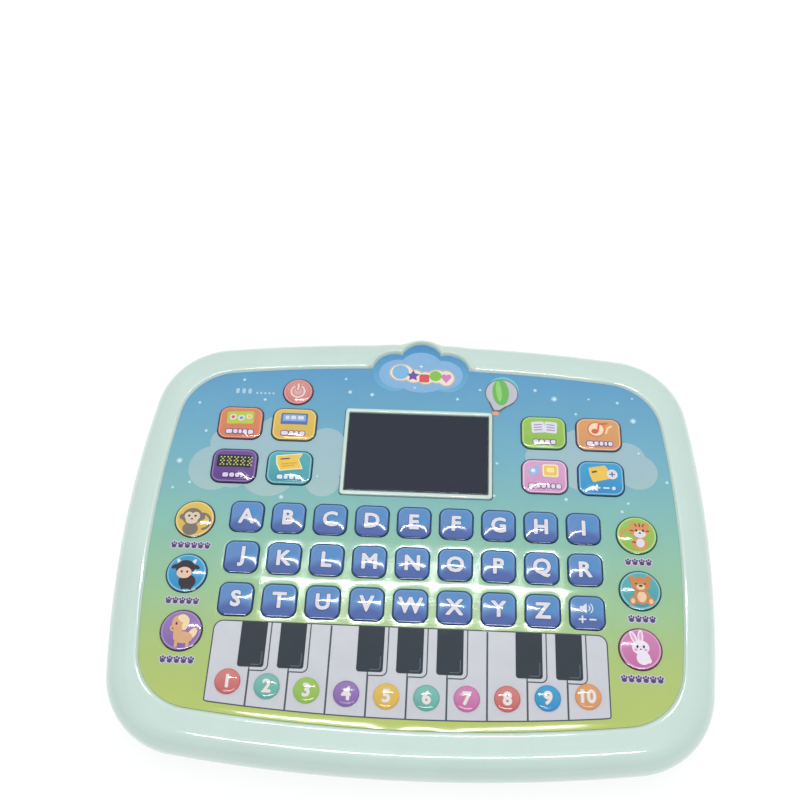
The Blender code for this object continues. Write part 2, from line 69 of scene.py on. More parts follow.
GAP = 0.3
SHEET_TOP = SHEET_HIGH.z
SHEET_UNDERSIDE = SHEET_LOW.z
PARTING_LINE = 14.0
WIDEST = 17.5
DECK_TOP = 22.9
DECK_UNDERSIDE = 20.8
INNER_TOP = 23.2
POCKET_WALL = 2.2
SLOPE_TOP = 25.75
LIP_TOP = 25.8
LIP_WIDTH = 1.0
LEDGE_TOP = SHEET_UNDERSIDE - 0.1
LEDGE_WIDTH = 0.9
EDGE_GAP = 0.05
PRINTED_THICKNESS = 0.5
BADGE_RIM_TOP = SHELL_HIGH.z

# Cloud badge: a dome between two lobes.
DOME_PLACE = (0.0, 83.0)
DOME_RADIUS = 9.2
LOBE_PLACE = (11.5, 77.0)
LOBE_RADIUS = 9.8
BADGE_RIM = 1.5

KEY_CROWN = 26.0
CROWN_RISE = 0.6
SHOULDER_DROP = 0.12
SHOULDER_WIDTH = 1.2
DIP = 0.045
DIP_WIDTH = 1.3
CURL = 0.26
RIPPLE = 0.016
SWELL = 0.03

SCREEN_Y = (RIM_LOW.y + RIM_HIGH.y) / 2
LIGHT_OPENING = (54.0, 32.0)
RIM_SIZE = (63.3, 41.4)
RIM_TOP = 25.8

# ---------------------------------------------------------------- outlines


def meeting(first, first_radius, second, second_radius):
    """Where two circles meet, to the right of the way from the first centre to the second."""
    across = math.dist(first, second)
    along = (first_radius**2 - second_radius**2 + across**2) / (2 * across)
    off = math.sqrt(first_radius**2 - along**2)
    unit = [(second[k] - first[k]) / across for k in (0, 1)]
    return (
        first[0] + along * unit[0] + off * unit[1],
        first[1] + along * unit[1] - off * unit[0],
    )


def barrel_depth(half_x, half_y, side_radius, end_radius, corner_radius):
    """A function for how far inside a barrel outline a point lies, negative outside.

    A barrel is a rectangle with bulging sides: four long arcs joined by four corner arcs.
    """
    side = (half_x - side_radius, 0.0)
    end = (0.0, half_y - end_radius)
    corner = meeting(end, end_radius - corner_radius, side, side_radius - corner_radius)
    first = math.atan2(corner[1], corner[0] - side[0])
    last = math.atan2(corner[1] - end[1], corner[0])

    def depth(x, y):
        x, y = np.abs(x), np.abs(y)
        turn = np.arctan2(y - corner[1], x - corner[0])
        in_corner = (turn > first) & (turn < last)
        by_side = side_radius - np.hypot(x - side[0], y)
        by_end = end_radius - np.hypot(x, y - end[1])
        by_corner = corner_radius - np.hypot(x - corner[0], y - corner[1])
        return np.where(in_corner, by_corner, np.minimum(by_side, by_end))

    return depth


casing_depth = barrel_depth(SHELL_HIGH.x, SHELL_HIGH.y, 450.0, 680.0, 33.0)
sheet_body_depth = barrel_depth(SHEET_HIGH.x, -SHEET_LOW.y, 440.0, 700.0, 24.0)


def badge_depth(x, y):
    """How far inside the badge a point lies, negative outside."""
    lobe = LOBE_RADIUS - np.hypot(np.abs(x) - LOBE_PLACE[0], y - LOBE_PLACE[1])
    dome = DOME_RADIUS - np.hypot(x, y - DOME_PLACE[1])
    return np.maximum(lobe, dome)


def sheet_depth(x, y):
    """How far inside the whole sheet a point lies, with its badge, negative outside."""
    return np.maximum(sheet_body_depth(x, y), badge_depth(x, y))


def reach(depth, angles, target=0.0, near=60.0, far=160.0, centre=(0.0, 0.0)):
    """Points where rays from the centre come out to the target depth, found by halving."""
    low = np.full(len(angles), near)
    high = np.full(len(angles), far)

    def along(distance):
        return centre[0] + distance * np.cos(angles), centre[1] + distance * np.sin(angles)

    for _ in range(40):
        middle = (low + high) / 2
        inside = depth(*along(middle)) > target
        low = np.where(inside, middle, low)
        high = np.where(inside, high, middle)
    return np.stack(along(low), axis=1)


def outward(depth, points):
    """The unit normal of an outline at points on it."""
    step = 0.01
    x, y = points[:, 0], points[:, 1]
    normal = np.stack(
        [depth(x - step, y) - depth(x + step, y), depth(x, y - step) - depth(x, y + step)], axis=1
    )
    return normal / np.linalg.norm(normal, axis=1)[:, None]


def smoothstep(low, high, value):
    t = np.clip((value - low) / (high - low), 0.0, 1.0)
    return t * t * (3 - 2 * t)


def ring_angles():
    """Angles round the casing, closer together beside the badge."""
    even = np.linspace(0, FULL_TURN, 720, endpoint=False)
    badge = np.linspace(math.radians(70.2), math.radians(109.8), 321)
    return np.unique(np.concatenate([even, badge]).round(6))


def smooth_profile(points, steps):
    """A Catmull-Rom curve through the points, with that many steps between neighbours."""
    points = np.array([points[0], *points, points[-1]], float)
    curve = []
    for a, b, c, d in zip(points, points[1:], points[2:], points[3:]):
        for step in range(steps):
            t = step / steps
            near = 2 * b + (c - a) * t + (2 * a - 5 * b + 4 * c - d) * t**2
            curve.append((near + (3 * b - a - 3 * c + d) * t**3) / 2)
    return curve + [points[-1]]


# ---------------------------------------------------------------- surfaces


def key_nodes():
    """Every key's node name, with its kind, its middle and its size."""
    keys = []
    for node in sorted(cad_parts):
        kind = node.split("_key_")[0] if "_key" in node else None
        if node.startswith("key_"):
            kind = "letter"
        if node == "power_key":
            kind = "power"
        if kind is None:
            continue
        low, high = box_mm(node)
        keys.append((node, kind, (low + high) / 2, high - low))
    return keys


CORNERS = {"letter": 3.4, "mode": 4.2}


def key_depth(kind, size, x, y):
    """How far inside a key's outline a point lies, from the key's middle, negative outside."""
    half_x, half_y = size.x / 2, size.y / 2
    corner = CORNERS.get(kind, half_x)
    dx, dy = np.abs(x) - (half_x - corner), np.abs(y) - (half_y - corner)
    outside = np.hypot(np.maximum(dx, 0.0), np.maximum(dy, 0.0))
    return corner - outside - np.minimum(np.maximum(dx, dy), 0.0)


KEYS = key_nodes()


def bezel_height(x, y, height):
    """Adds the raised rim round the badge to a height on the bezel."""
    near = smoothstep(BADGE_RIM + 1.6, BADGE_RIM - 0.4, -badge_depth(x, y))
    near = near * smoothstep(WIDEST, 23.5, height)
    return height + (BADGE_RIM_TOP - height) * near


def sheet_height(x, y):
    """The printed sheet: nearly flat, with a curled front edge and the faint waves of loose film."""
    depth = sheet_body_depth(x, y)
    front = np.clip((-y - 60.0) / 15.0, 0.0, 1.0)
    wide = 4.5 + 2.6 * np.exp(-(((x + 5.0) / 6.0) ** 2)) + 1.8 * np.exp(-(((x - 17.0) / 5.0) ** 2))
    curl = CURL * front * np.clip(1 - depth / wide, 0.0, 1.2) ** 2
    waves = RIPPLE * np.sin(x / 2.72 + 0.6) * np.sin(y / 2.83 + 1.0)
    waves = waves + SWELL * np.sin(x / 13.0 + 0.5) * np.cos(y / 11.0)
    still = smoothstep(0.5, 6.0, depth)
    near = np.full(np.shape(x), 9.0)
    for _, kind, middle, size in KEYS:
        near = np.minimum(near, -key_depth(kind, size, x - middle.x, y - middle.y))
    dip = DIP * np.exp(-np.maximum(near, 0.0) / DIP_WIDTH)
    return SHEET_TOP + curl + waves * still - dip


# ---------------------------------------------------------------- meshes


def lean_with(mesh, points, surface):
    """Gives the upward faces the exact slope of the surface that they follow."""
    x, y = points[:, 0], points[:, 1]
    step = 0.02
    lean = np.stack(
        [
            (surface(x - step, y) - surface(x + step, y)) / (2 * step),
            (surface(x, y - step) - surface(x, y + step)) / (2 * step),
            np.ones(len(x)),
        ],
        axis=1,
    )
    lean /= np.linalg.norm(lean, axis=1)[:, None]
    own = np.empty(len(mesh.polygons) * 3)
    mesh.polygons.foreach_get("normal", own)
    sizes = np.empty(len(mesh.polygons), int)
    mesh.polygons.foreach_get("loop_total", sizes)
    corner = np.empty(len(mesh.loops), int)
    mesh.loops.foreach_get("vertex_index", corner)
    own = np.repeat(own.reshape(-1, 3), sizes, axis=0)
    normals = np.where(own[:, 2:] > 0.8, lean[corner], own)
    mesh.normals_split_custom_set(normals.tolist())


SHARP_FROM = 35.0  # edges that turn by more degrees than this are drawn sharp
CARVED_SHARP_FROM = 30.0


def add_mesh(name, points, faces, materials, finishes=None, place=(0.0, 0.0, 0.0), surface=None):
    """An object made of points in millimetres, round the place in millimetres."""
    mesh = bpy.data.meshes.new(name)
    mesh.from_pydata((np.asarray(points, float) * MM).tolist(), [], faces)
    for material in materials:
        mesh.materials.append(material)
    if finishes is not None:
        mesh.polygons.foreach_set("material_index", np.asarray(finishes, np.int32))
    mesh.shade_smooth()
    mesh.set_sharp_from_angle(angle=math.radians(SHARP_FROM))
    if surface is not None:
        lean_with(mesh, np.asarray(points, float), surface)
    obj = bpy.data.objects.new(name, mesh)
    obj.location = Vector(place) * MM
    bpy.context.scene.collection.objects.link(obj)
    return obj


def band(first, second, count):
    """Quads between two rings of count points, given by the index of each ring's first point."""
    return [
        (first + k, first + (k + 1) % count, second + (k + 1) % count, second + k)
        for k in range(count)
    ]


def loft(rings, closed=False):
    """Points and faces through rings of equally many points, capped at both ends or closed up."""
    count = len(rings[0])
    points = np.concatenate(rings)
    starts = [k * count for k in range(len(rings))]
    faces = []
    for low, high in zip(starts, starts[1:]):
        faces += band(low, high, count)
    if closed:
        faces += band(starts[-1], 0, count)
    else:
        faces.append(tuple(reversed(range(count))))
        faces.append(tuple(range(starts[-1], starts[-1] + count)))
    return points, faces


def at_height(points, height):
    points = np.asarray(points, float)
    return np.column_stack([points, np.broadcast_to(height, len(points))])


def disc(x, y, radius, radius_y=None, turn=0.0, sides=None):
    """A circle's or an ellipse's outline."""
    radius_y = radius if radius_y is None else radius_y
    sides = sides or max(12, int(10 + 4 * max(radius, radius_y)))
    c, s = math.cos(math.radians(turn)), math.sin(math.radians(turn))
    loop = []
    for k in range(sides):
        a, b = radius * math.cos(FULL_TURN * k / sides), radius_y * math.sin(FULL_TURN * k / sides)
        loop.append((x + a * c - b * s, y + a * s + b * c))
    return loop


def slab(x, y, width, depth, radius=0.0, turn=0.0, steps=5):
    """A rounded rectangle's outline."""
    c, s = math.cos(math.radians(turn)), math.sin(math.radians(turn))
    loop = []
    for quarter, (sx, sy) in enumerate(((1, 1), (-1, 1), (-1, -1), (1, -1))):
        cx, cy = sx * (width / 2 - radius), sy * (depth / 2 - radius)
        for k in range(steps + 1 if radius else 1):
            angle = (quarter + k / steps) * math.pi / 2
            a, b = cx + radius * math.cos(angle), cy + radius * math.sin(angle)
            loop.append((x + a * c - b * s, y + a * s + b * c))
    return loop


def star(x, y, radius, waist, tips=5):
    """A star's outline, with one tip pointing up."""
    loop = []
    for k in range(2 * tips):
        r = radius * (waist if k % 2 else 1.0)
        angle = math.radians(90.0 + 180.0 * k / tips)
        loop.append((x + r * math.cos(angle), y + r * math.sin(angle)))
    return loop


def stroke(points, width, sides=12):
    """Outlines of a round-ended line: a slab for each stretch and a disc at each point."""
    loops = [disc(x, y, width / 2, sides=sides) for x, y in points]
    for (ax, ay), (bx, by) in zip(points, points[1:]):
        length = math.hypot(bx - ax, by - ay)
        turn = math.degrees(math.atan2(by - ay, bx - ax))
        loops.append(slab((ax + bx) / 2, (ay + by) / 2, length, width, 0.0, turn))
    return loops


def minus(x, y, half, width):
    """Outlines of a minus sign about its middle, given half its length."""
    return stroke([(x - half, y), (x + half, y)], width)


def plus(x, y, half, width):
    return minus(x, y, half, width) + stroke([(x, y - half), (x, y + half)], width)


def pair(x, y, off, radius, radius_y=None, turn=0.0):
    """Two mirrored discs, each that far off to its side of the middle."""
    return [disc(x - off, y, radius, radius_y, turn), disc(x + off, y, radius, radius_y, -turn)]


def bow(x, y, radius, start, end, steps):
    """Points along an arc, with its angles in degrees."""
    angles = np.radians(np.linspace(start, end, steps + 1))
    return [(x + radius * math.cos(a), y + radius * math.sin(a)) for a in angles]


def within(loops, x, y, odd):
    """Whether points lie inside the loops: inside an odd number of them, or inside any."""
    count = np.zeros(len(x), int)
    for loop in loops:
        ax, ay = np.array(loop).T
        bx, by = np.roll(ax, -1), np.roll(ay, -1)
        spans = (ay[:, None] > y) != (by[:, None] > y)
        rise = np.where(by == ay, 1.0, by - ay)
        cross = ax[:, None] + (y - ay[:, None]) * ((bx - ax) / rise)[:, None]
        count += (spans & (x < cross)).sum(0) % 2
    return count % 2 == 1 if odd else count > 0


def stepped(loop, spacing):
    """The same outline, with points added so that no stretch is longer than the spacing."""
    result = []
    for (ax, ay), (bx, by) in zip(loop, [*loop[1:], loop[0]]):
        steps = max(1, math.ceil(math.hypot(bx - ax, by - ay) / spacing))
        result += [(ax + (bx - ax) * k / steps, ay + (by - ay) * k / steps) for k in range(steps)]
    return result


def fill(solid, holed, spacing, cut=()):
    """Triangles inside any solid loop or an odd number of holed ones, and outside the cut ones."""
    solid, holed, cut = ([stepped(loop, spacing) for loop in loops] for loops in (solid, holed, cut))

    def inside(x, y):
        kept = within(solid, x, y, False) | within(holed, x, y, True)
        return kept & ~within(cut, x, y, False)

    corners, edges = [], []
    for loop in [*solid, *holed, *cut]:
        start = len(corners)
        corners += [Vector(point) for point in loop]
        edges += [(start + k, start + (k + 1) % len(loop)) for k in range(len(loop))]
    array = np.array([tuple(corner) for corner in corners])
    low, high = array.min(0), array.max(0)
    if max(high - low) > spacing:
        gx, gy = np.meshgrid(
            np.arange(low[0] + spacing / 2, high[0], spacing),
            np.arange(low[1] + spacing / 2, high[1], spacing),
        )
        gx, gy = gx.ravel(), gy.ravel()
        inner = inside(gx, gy)
        corners += [Vector(point) for point in zip(gx[inner], gy[inner])]
    made, _, faces, *_ = delaunay_2d_cdt(corners, edges, [], 0, 1e-5)
    points = np.array([tuple(point) for point in made])
    faces = np.array([tuple(face) for face in faces])
    a, b, c = points[faces[:, 0]], points[faces[:, 1]], points[faces[:, 2]]
    area = (b - a)[:, 0] * (c - a)[:, 1] - (b - a)[:, 1] * (c - a)[:, 0]
    faces = np.where((area < 0)[:, None], faces[:, ::-1], faces)
    middle = (a + b + c) / 3
    return points, faces[inside(middle[:, 0], middle[:, 1]) & (np.abs(area) > 1e-9)]


def thicken(points, faces, top, bottom):
    """A closed body from flat triangles, given the height of its top and bottom at each point."""
    used, faces = np.unique(faces, return_inverse=True)
    faces = faces.reshape(-1, 3)
    points = points[used]
    x, y = points.T
    count = len(points)
    solid = np.concatenate([at_height(points, top(x, y)), at_height(points, bottom(x, y))])
    edges = np.concatenate([faces[:, [0, 1]], faces[:, [1, 2]], faces[:, [2, 0]]])
    known = set(map(tuple, edges.tolist()))
    rim = [(a, b) for a, b in known if (b, a) not in known]
    result = faces.tolist() + (faces[:, ::-1] + count).tolist()
    result += [(b, a, a + count, b + count) for a, b in sorted(rim)]
    return solid, result


LAYER = 0.03  # how far each printed layer stands above the one below
ROOT = 0.12  # how far the printed layers reach into the surface below them


class Print:
    """Layers of print on a surface, in one object that rides on a body."""

    def __init__(self, name, surface, spacing=1.5):
        self.name = name
        self.surface = surface
        self.spacing = spacing
        self.points, self.faces, self.finishes, self.materials = [], [], [], []
        self.count = 0

    def add(self, material, loops, level=1, holed=(), cut=()):
        points, faces = fill(loops, holed, self.spacing, cut)
        if not len(faces):
            return self
        lift = LAYER * level
        solid, faces = thicken(
            points,
            faces,
            lambda x, y: self.surface(x, y) + lift,
            lambda x, y: self.surface(x, y) - ROOT,
        )
        if material not in self.materials:
            self.materials.append(material)
        self.points.append(solid)
        self.faces += [tuple(k + self.count for k in face) for face in faces]
        self.finishes += [self.materials.index(material)] * len(faces)
        self.count += len(solid)
        return self

    def finish(self, body, place=(0.0, 0.0, 0.0)):
        obj = add_mesh(
            self.name,
            np.concatenate(self.points),
            self.faces,
            self.materials,
            self.finishes,
            place,
            surface=self.surface,
        )
        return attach(obj, body)


# ---------------------------------------------------------------- letters and numerals


def text_loops(text, size):
    """The outlines of a line of text, in the built-in typeface."""
    curve = bpy.data.curves.new("text", "FONT")
    curve.body = text
    curve.size = size
    curve.fill_mode = "NONE"
    curve.resolution_u = 3
    obj = bpy.data.objects.new("text", curve)
    bpy.context.scene.collection.objects.link(obj)
    bpy.context.view_layer.update()
    mesh = bpy.data.meshes.new_from_object(obj.evaluated_get(bpy.context.evaluated_depsgraph_get()))
    places = [tuple(vertex.co[:2]) for vertex in mesh.vertices]
    after = {}
    for edge in mesh.edges:
        a, b = edge.vertices
        after.setdefault(a, []).append(b)
        after.setdefault(b, []).append(a)
    bpy.data.objects.remove(obj)
    loops, seen = [], set()
    for start in sorted(after):
        if start in seen:
            continue
        loop, here = [], start
        while here is not None:
            seen.add(here)
            loop.append(places[here])
            here = next((k for k in after[here] if k not in seen), None)
        if len(loop) > 2:
            loops.append(loop)
    return loops


def extent(loops):
    points = np.concatenate([np.array(loop) for loop in loops])
    return points.min(0), points.max(0)


CAPITAL_SIZE = 1.0 / extent(text_loops("H", 1.0))[1][1]


def lettering(text, height):
    """The outlines of a line of text of that capital height, centred."""
    loops = text_loops(text, height * CAPITAL_SIZE)
    low, high = extent(loops)
    middle = (low + high) / 2
    return [[(x - middle[0], y - middle[1]) for x, y in loop] for loop in loops]


def bold(loops, weight):
    """Strokes that make outlines bolder by the weight all round."""
    strokes = []
    for loop in loops:
        strokes += stroke(loop + loop[:1], 2 * weight, 8)
    return strokes


# ---------------------------------------------------------------- materials


def tone(red, green, blue):
    """A colour from its screen values, 0 to 255, as the linear values that a shader takes."""
    linear = [
        value / 12.92 if value <= 0.04045 else ((value + 0.055) / 1.055) ** 2.4
        for value in (red / 255, green / 255, blue / 255)
    ]
    return (*linear, 1.0)


class Look:
    """A material's node tree, with short ways to add nodes and join them."""

    def __init__(self, name, roughness, specular=0.5):
        self.material = bpy.data.materials.new(name)
        self.material.use_nodes = True
        self.tree = self.material.node_tree
        self.shader = self.tree.nodes["Principled BSDF"]
        self.shader.inputs["Roughness"].default_value = roughness
        self.shader.inputs["Specular IOR Level"].default_value = specular

    def node(self, kind, inputs=None, **settings):
        node = self.tree.nodes.new(f"ShaderNode{kind}")
        for key, value in settings.items():
            setattr(node, key, value)
        for key, value in (inputs or {}).items():
            if isinstance(value, bpy.types.NodeSocket):
                self.tree.links.new(value, node.inputs[key])
            else:
                node.inputs[key].default_value = value
        return node

    def place(self):
        """The object's own coordinates, as separate x and y in millimetres, and whole."""
        whole = self.node("TexCoord").outputs["Object"]
        scaled = self.node(
            "VectorMath", {0: whole, 1: (1 / MM, 1 / MM, 1 / MM)}, operation="MULTIPLY"
        )
        parts = self.node("SeparateXYZ", {0: scaled.outputs[0]})
        return parts.outputs[0], parts.outputs[1], scaled.outputs[0]

    def compute(self, kind, a, b):
        return self.node("Math", {0: a, 1: b}, operation=kind).outputs[0]

    def ramp(self, value, low, high, stops):
        """A colour from the value, through stops of (place from 0 to 1, colour)."""
        span = self.node("MapRange", {0: value, 1: low, 2: high})
        ramp = self.node("ValToRGB", {0: span.outputs[0]})
        elements = ramp.color_ramp.elements
        for spot, _ in stops[2:]:
            elements.new(spot)
        for element, (spot, colour) in zip(elements, stops):
            element.position = spot
        for element, (_, colour) in zip(elements, stops):
            element.color = colour
        return ramp.outputs[0]

    def mix(self, factor, a, b, blend="MIX"):
        node = self.node("Mix", data_type="RGBA", blend_type=blend)
        for index, value in ((0, factor), (6, a), (7, b)):
            if isinstance(value, bpy.types.NodeSocket):
                self.tree.links.new(value, node.inputs[index])
            else:
                node.inputs[index].default_value = value
        return node.outputs[2]

    def noise(self, scale, detail=2.0):
        """Noise with cells of about 1 / scale millimetres."""
        return self.node(
            "TexNoise", {"Vector": self.place()[2], "Scale": scale, "Detail": detail}
        ).outputs[0]

    def paint(self, colour, scale=0.25, amount=0.05):
        """The base colour, with faint drifts lighter and darker."""
        drift = self.ramp(
            self.noise(scale), 0.3, 0.7, [(0.0, (1 - amount,) * 3 + (1,)), (1.0, (1, 1, 1, 1))]
        )
        result = self.mix(1.0, colour, drift, "MULTIPLY")
        self.tree.links.new(result, self.shader.inputs["Base Color"])
        return self

    def worn(self, low, high, scale=0.4):
        """Roughness that drifts between two values."""
        value = self.node("MapRange", {0: self.noise(scale, 4.0), 1: 0.3, 2: 0.7, 3: low, 4: high})
        self.tree.links.new(value.outputs[0], self.shader.inputs["Roughness"])
        return self

    def bump(self, scale, depth):
        """Fine relief of that depth in millimetres."""
        node = self.node("Bump", {"Height": self.noise(scale), "Distance": depth * MM})
        self.tree.links.new(node.outputs[0], self.shader.inputs["Normal"])
        return self


def moulded(name, colour, low=0.3, high=0.4):
    """Injection-moulded plastic with a polished skin over a faint grain."""
    look = Look(name, low).paint(colour, 0.05, 0.035).worn(low, high).bump(1.1, 0.0035)
    look.shader.inputs["Coat Weight"].default_value = 1.0
    look.shader.inputs["Coat Roughness"].default_value = 0.06
    return look.material


def printed(name, colour):
    """Ink under glossy film."""
    return Look(name, 0.05).paint(colour, 0.5, 0.05).worn(0.035, 0.06).material


SKY_STOPS = (
    (0.0, tone(184, 200, 105)),
    (0.18, tone(174, 198, 120)),
    (0.33, tone(156, 198, 152)),
    (0.52, tone(137, 192, 178)),
    (0.72, tone(118, 178, 196)),
    (1.0, tone(94, 157, 200)),
)
SKY_SPAN = (-79.0, 79.0)


def sky_colour(look):
    """The sheet's ground, from yellow-green at the front to blue at the back."""
    return look.ramp(look.place()[1], *SKY_SPAN, SKY_STOPS)


def sky_print(name, over=None, share=0.0):
    """Print in the colours of the sky, or in a share of another tone over them."""
    look = Look(name, 0.08)
    colour = sky_colour(look)
    if over is not None:
        colour = look.mix(share, colour, over)
    return look.paint(colour, 0.08, 0.03).worn(0.075, 0.1).material


@functools.cache
def ink(red, green, blue):
    """Printed colour, made once for each tone."""
    return printed(f"ink_{red}_{green}_{blue}", tone(red, green, blue))


WHITE = (226, 224, 232)
BLACK = (46, 56, 66)


def key_face(name, upper, lower, half_height, split, soft, glow=None):
    """A key face in two tones, one above a soft, slightly arched boundary and one below it, with an
    optional pale spot; on the letter keys the lighter upper tone and the spot are painted reflection
    and highlight.
    """
    look = Look(name, 0.08)
    x, y, whole = look.place()
    # On the letter keys the lighter tone above the arched boundary is a painted reflection of the
    # ceiling's light, and the darker tone below is the face where that reflection is missing.
    arch = look.compute("MULTIPLY", look.compute("MULTIPLY", x, x), 0.3 / half_height)
    level = look.compute("ADD", y, arch)
    stops = [(0.0, lower), (max(split - soft, 0.01), lower), (split + soft, upper), (1.0, upper)]
    colour = look.ramp(level, -half_height, half_height, stops)
    # The glow mixes a pale spot into the face round a point; on the letter keys it is a painted
    # highlight.
    if glow is not None:
        highlight_tone, middle, radius = glow
        far = look.node("VectorMath", {0: whole, 1: middle}, operation="DISTANCE")
        share = look.node("MapRange", {0: far.outputs["Value"], 1: 0.0, 2: radius, 3: 0.75, 4: 0.0})
        colour = look.mix(share.outputs[0], colour, highlight_tone)
    return look.paint(colour, 0.4, 0.03).worn(0.06, 0.09).material


# Each key colour as (upper face, lower face, edge, inner border). On the letter keys, "blue", the
# upper face is lighter than the lower as a painted reflection of the ceiling's light; on the other
# keys the face only grows lighter towards the top.
KEY_TONES = {
    "blue": ((99, 142, 196), (82, 106, 169), (32, 72, 120), (110, 156, 208)),
    "orange": ((218, 136, 98), (214, 124, 88), (112, 72, 96), (236, 160, 130)),
    "yellow": ((224, 190, 92), (220, 178, 76), (106, 96, 86), (238, 212, 134)),
    "green": ((154, 196, 90), (144, 188, 80), (66, 116, 78), (188, 216, 138)),
    "apricot": ((220, 160, 106), (214, 150, 96), (118, 90, 98), (234, 192, 156)),
    "purple": ((110, 78, 150), (94, 60, 132), (52, 42, 80), (146, 120, 182)),
    "lilac": ((150, 120, 182), (132, 98, 168), (84, 70, 104), (166, 140, 196)),
    "teal": ((90, 172, 180), (66, 152, 162), (36, 92, 110), (134, 198, 204)),
    "pink": ((218, 164, 204), (206, 146, 190), (120, 86, 124), (234, 202, 226)),
    "sky": ((64, 160, 206), (46, 140, 196), (44, 84, 130), (130, 188, 224)),
    "coral": ((210, 128, 124), (196, 98, 98), (128, 68, 86), (224, 158, 152)),
    "magenta": ((206, 132, 178), (196, 106, 162), (130, 72, 112), (222, 158, 200)),
}


# ---------------------------------------------------------------- casing


def front_shell_rings():
    """Rings round the shell's section: inside the wall, out, over the bezel and down to the deck."""
    angles = ring_angles()
    edge = reach(casing_depth, angles)
    normal = outward(casing_depth, edge)
    pocket = reach(sheet_depth, angles, -EDGE_GAP)
    lip = reach(sheet_depth, angles, -EDGE_GAP - LIP_WIDTH)
    # The badge leaves the rear bezel little room, so the section is squeezed there.
    squeeze = np.minimum(casing_depth(lip[:, 0], lip[:, 1]) / 9.6, 1.0)[:, None]

    def outside(inset, height):
        return at_height(edge - normal * inset * squeeze, height)

    rings = [outside(5.0, INNER_TOP), outside(2.4, WIDEST), outside(2.6, PARTING_LINE)]
    profile = (
        (0.55, PARTING_LINE),
        (0.1, 14.9),
        (0.0, WIDEST),
        (0.75, 21.0),
        (2.7, 23.8),
        (5.4, 25.2),
        (8.6, SLOPE_TOP),
    )
    for inset, height in smooth_profile(profile, 4):
        ring = outside(inset, height)
        ring[:, 2] = bezel_height(ring[:, 0], ring[:, 1], ring[:, 2])
        rings.append(ring)
    last = rings[-1][:, :2]
    for share in (0.25, 0.5, 0.75, 1.0):
        ring = last + (lip - last) * share
        height = SLOPE_TOP + (LIP_TOP - SLOPE_TOP) * share
        rings.append(at_height(ring, bezel_height(ring[:, 0], ring[:, 1], height)))
    raised = bezel_height(lip[:, 0], lip[:, 1], LIP_TOP)
    for share in (0.15, 0.3, 0.45, 0.6, 0.8, 1.0):
        ring = lip + (pocket - lip) * share
        rings.append(at_height(ring, raised - (raised - SHEET_TOP) * share**1.5))
    rings.append(at_height(pocket, LEDGE_TOP))
    ledge = reach(sheet_depth, angles, LEDGE_WIDTH)
    rings.append(at_height(ledge, LEDGE_TOP))
    rings.append(at_height(ledge, DECK_TOP))
    opening = light_opening_ring(angles)
    rings.append(at_height(opening, DECK_TOP))
    rings.append(at_height(opening, DECK_UNDERSIDE))
    wall = reach(sheet_body_depth, angles, -GAP - POCKET_WALL)
    rings.append(at_height(wall, DECK_UNDERSIDE))
    rings.append(at_height(wall, INNER_TOP))
    return rings


def light_opening_ring(angles):
    """Points round the opening under the screen, one for each angle."""
    half_x, half_y = LIGHT_OPENING[0] / 2, LIGHT_OPENING[1] / 2
    x, y = np.cos(angles), np.sin(angles)
    size = np.minimum(half_x / np.maximum(abs(x), 1e-9), half_y / np.maximum(abs(y), 1e-9))
    return np.stack([x * size, y * size + SCREEN_Y], axis=1)


def frame_ring(width, depth, radius, height):
    """A rounded rectangle round the screen's middle."""
    return at_height(slab(0.0, SCREEN_Y, width, depth, radius, steps=4), height)


def make_casing(mint):
    rings = front_shell_rings()
    shell = add_mesh("front_shell_moulding", *loft(rings, closed=True), [mint])
    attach(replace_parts(shell, "front_shell"), "casing")

    # The screen's rim, moulded with the shell and standing up through the sheet.
    width, depth = RIM_SIZE
    inner = (RIM_HIGH.x - RIM_LOW.x + 2 * GAP, RIM_HIGH.y - RIM_LOW.y + 2 * GAP)
    rings = [
        frame_ring(inner[0], inner[1], 0.4, DECK_TOP - 0.5),
        frame_ring(width, depth, 1.4, DECK_TOP - 0.5),
        frame_ring(width, depth, 1.4, RIM_TOP - 0.5),
        frame_ring(width - 0.12, depth - 0.12, 1.35, RIM_TOP - 0.2),
        frame_ring(width - 0.5, depth - 0.5, 1.2, RIM_TOP - 0.03),
        frame_ring(width - 1.0, depth - 1.0, 1.0, RIM_TOP),
        frame_ring(inner[0] + 0.8, inner[1] + 0.8, 0.8, RIM_TOP),
        frame_ring(inner[0] + 0.3, inner[1] + 0.3, 0.55, RIM_TOP - 0.1),
        frame_ring(inner[0], inner[1], 0.4, RIM_TOP - 0.4),
    ]
    rim = add_mesh("screen_rim", *loft(rings, closed=True), [mint])
    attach(rim, "casing")


# ---------------------------------------------------------------- back of the casing

FLOOR_UNDERSIDE = 1.2
FLOOR_TOP = 3.2
INSIDE_FLOOR = 2.2
BELOW_ALL = -5.0
CASE_SCREWS = ((94, 66), (-94, 66), (94, -66), (-94, -66), (100, 0), (-100, 0))
BOARD_POSTS = ((36, 57.8), (-36, 57.8), (36, 15.8), (-36, 15.8))
FEET = ((78, 74), (-78, 74), (78, -74), (-78, -74))
SPEAKER_PLACE = (-66.0, 22.0)
GRILLE_PITCH = 5.2
TAB_X = (-18.0, 18.0)
DOOR_SCREW = (0.0, -63.0)
CELL_Y = (-52.2, -37.05, -21.9)
CELL_HEIGHT = 11.0
DOOR_Y = -38.5
TAB_Y = -11.8
BAY_TOP = 20.3
WELL_RADIUS = 4.6
HEAD_HOLE = 3.1
SHANK_HOLE = 1.6
SPRING_TURNS = 4.5
SPRING_WIRE = 0.4
WIRE_RADIUS = 0.6
POST_TOP = 21.2
BOARD_UNDERSIDE = 15.1
CAPACITORS = ((26.0, 24.0), (31.5, 24.0))
CHIPS = ((18, 44, 9, 5), (-18, 46, 6, 4), (-20, 34, 3.4, 1.6), (-20, 30, 3.4, 1.6))
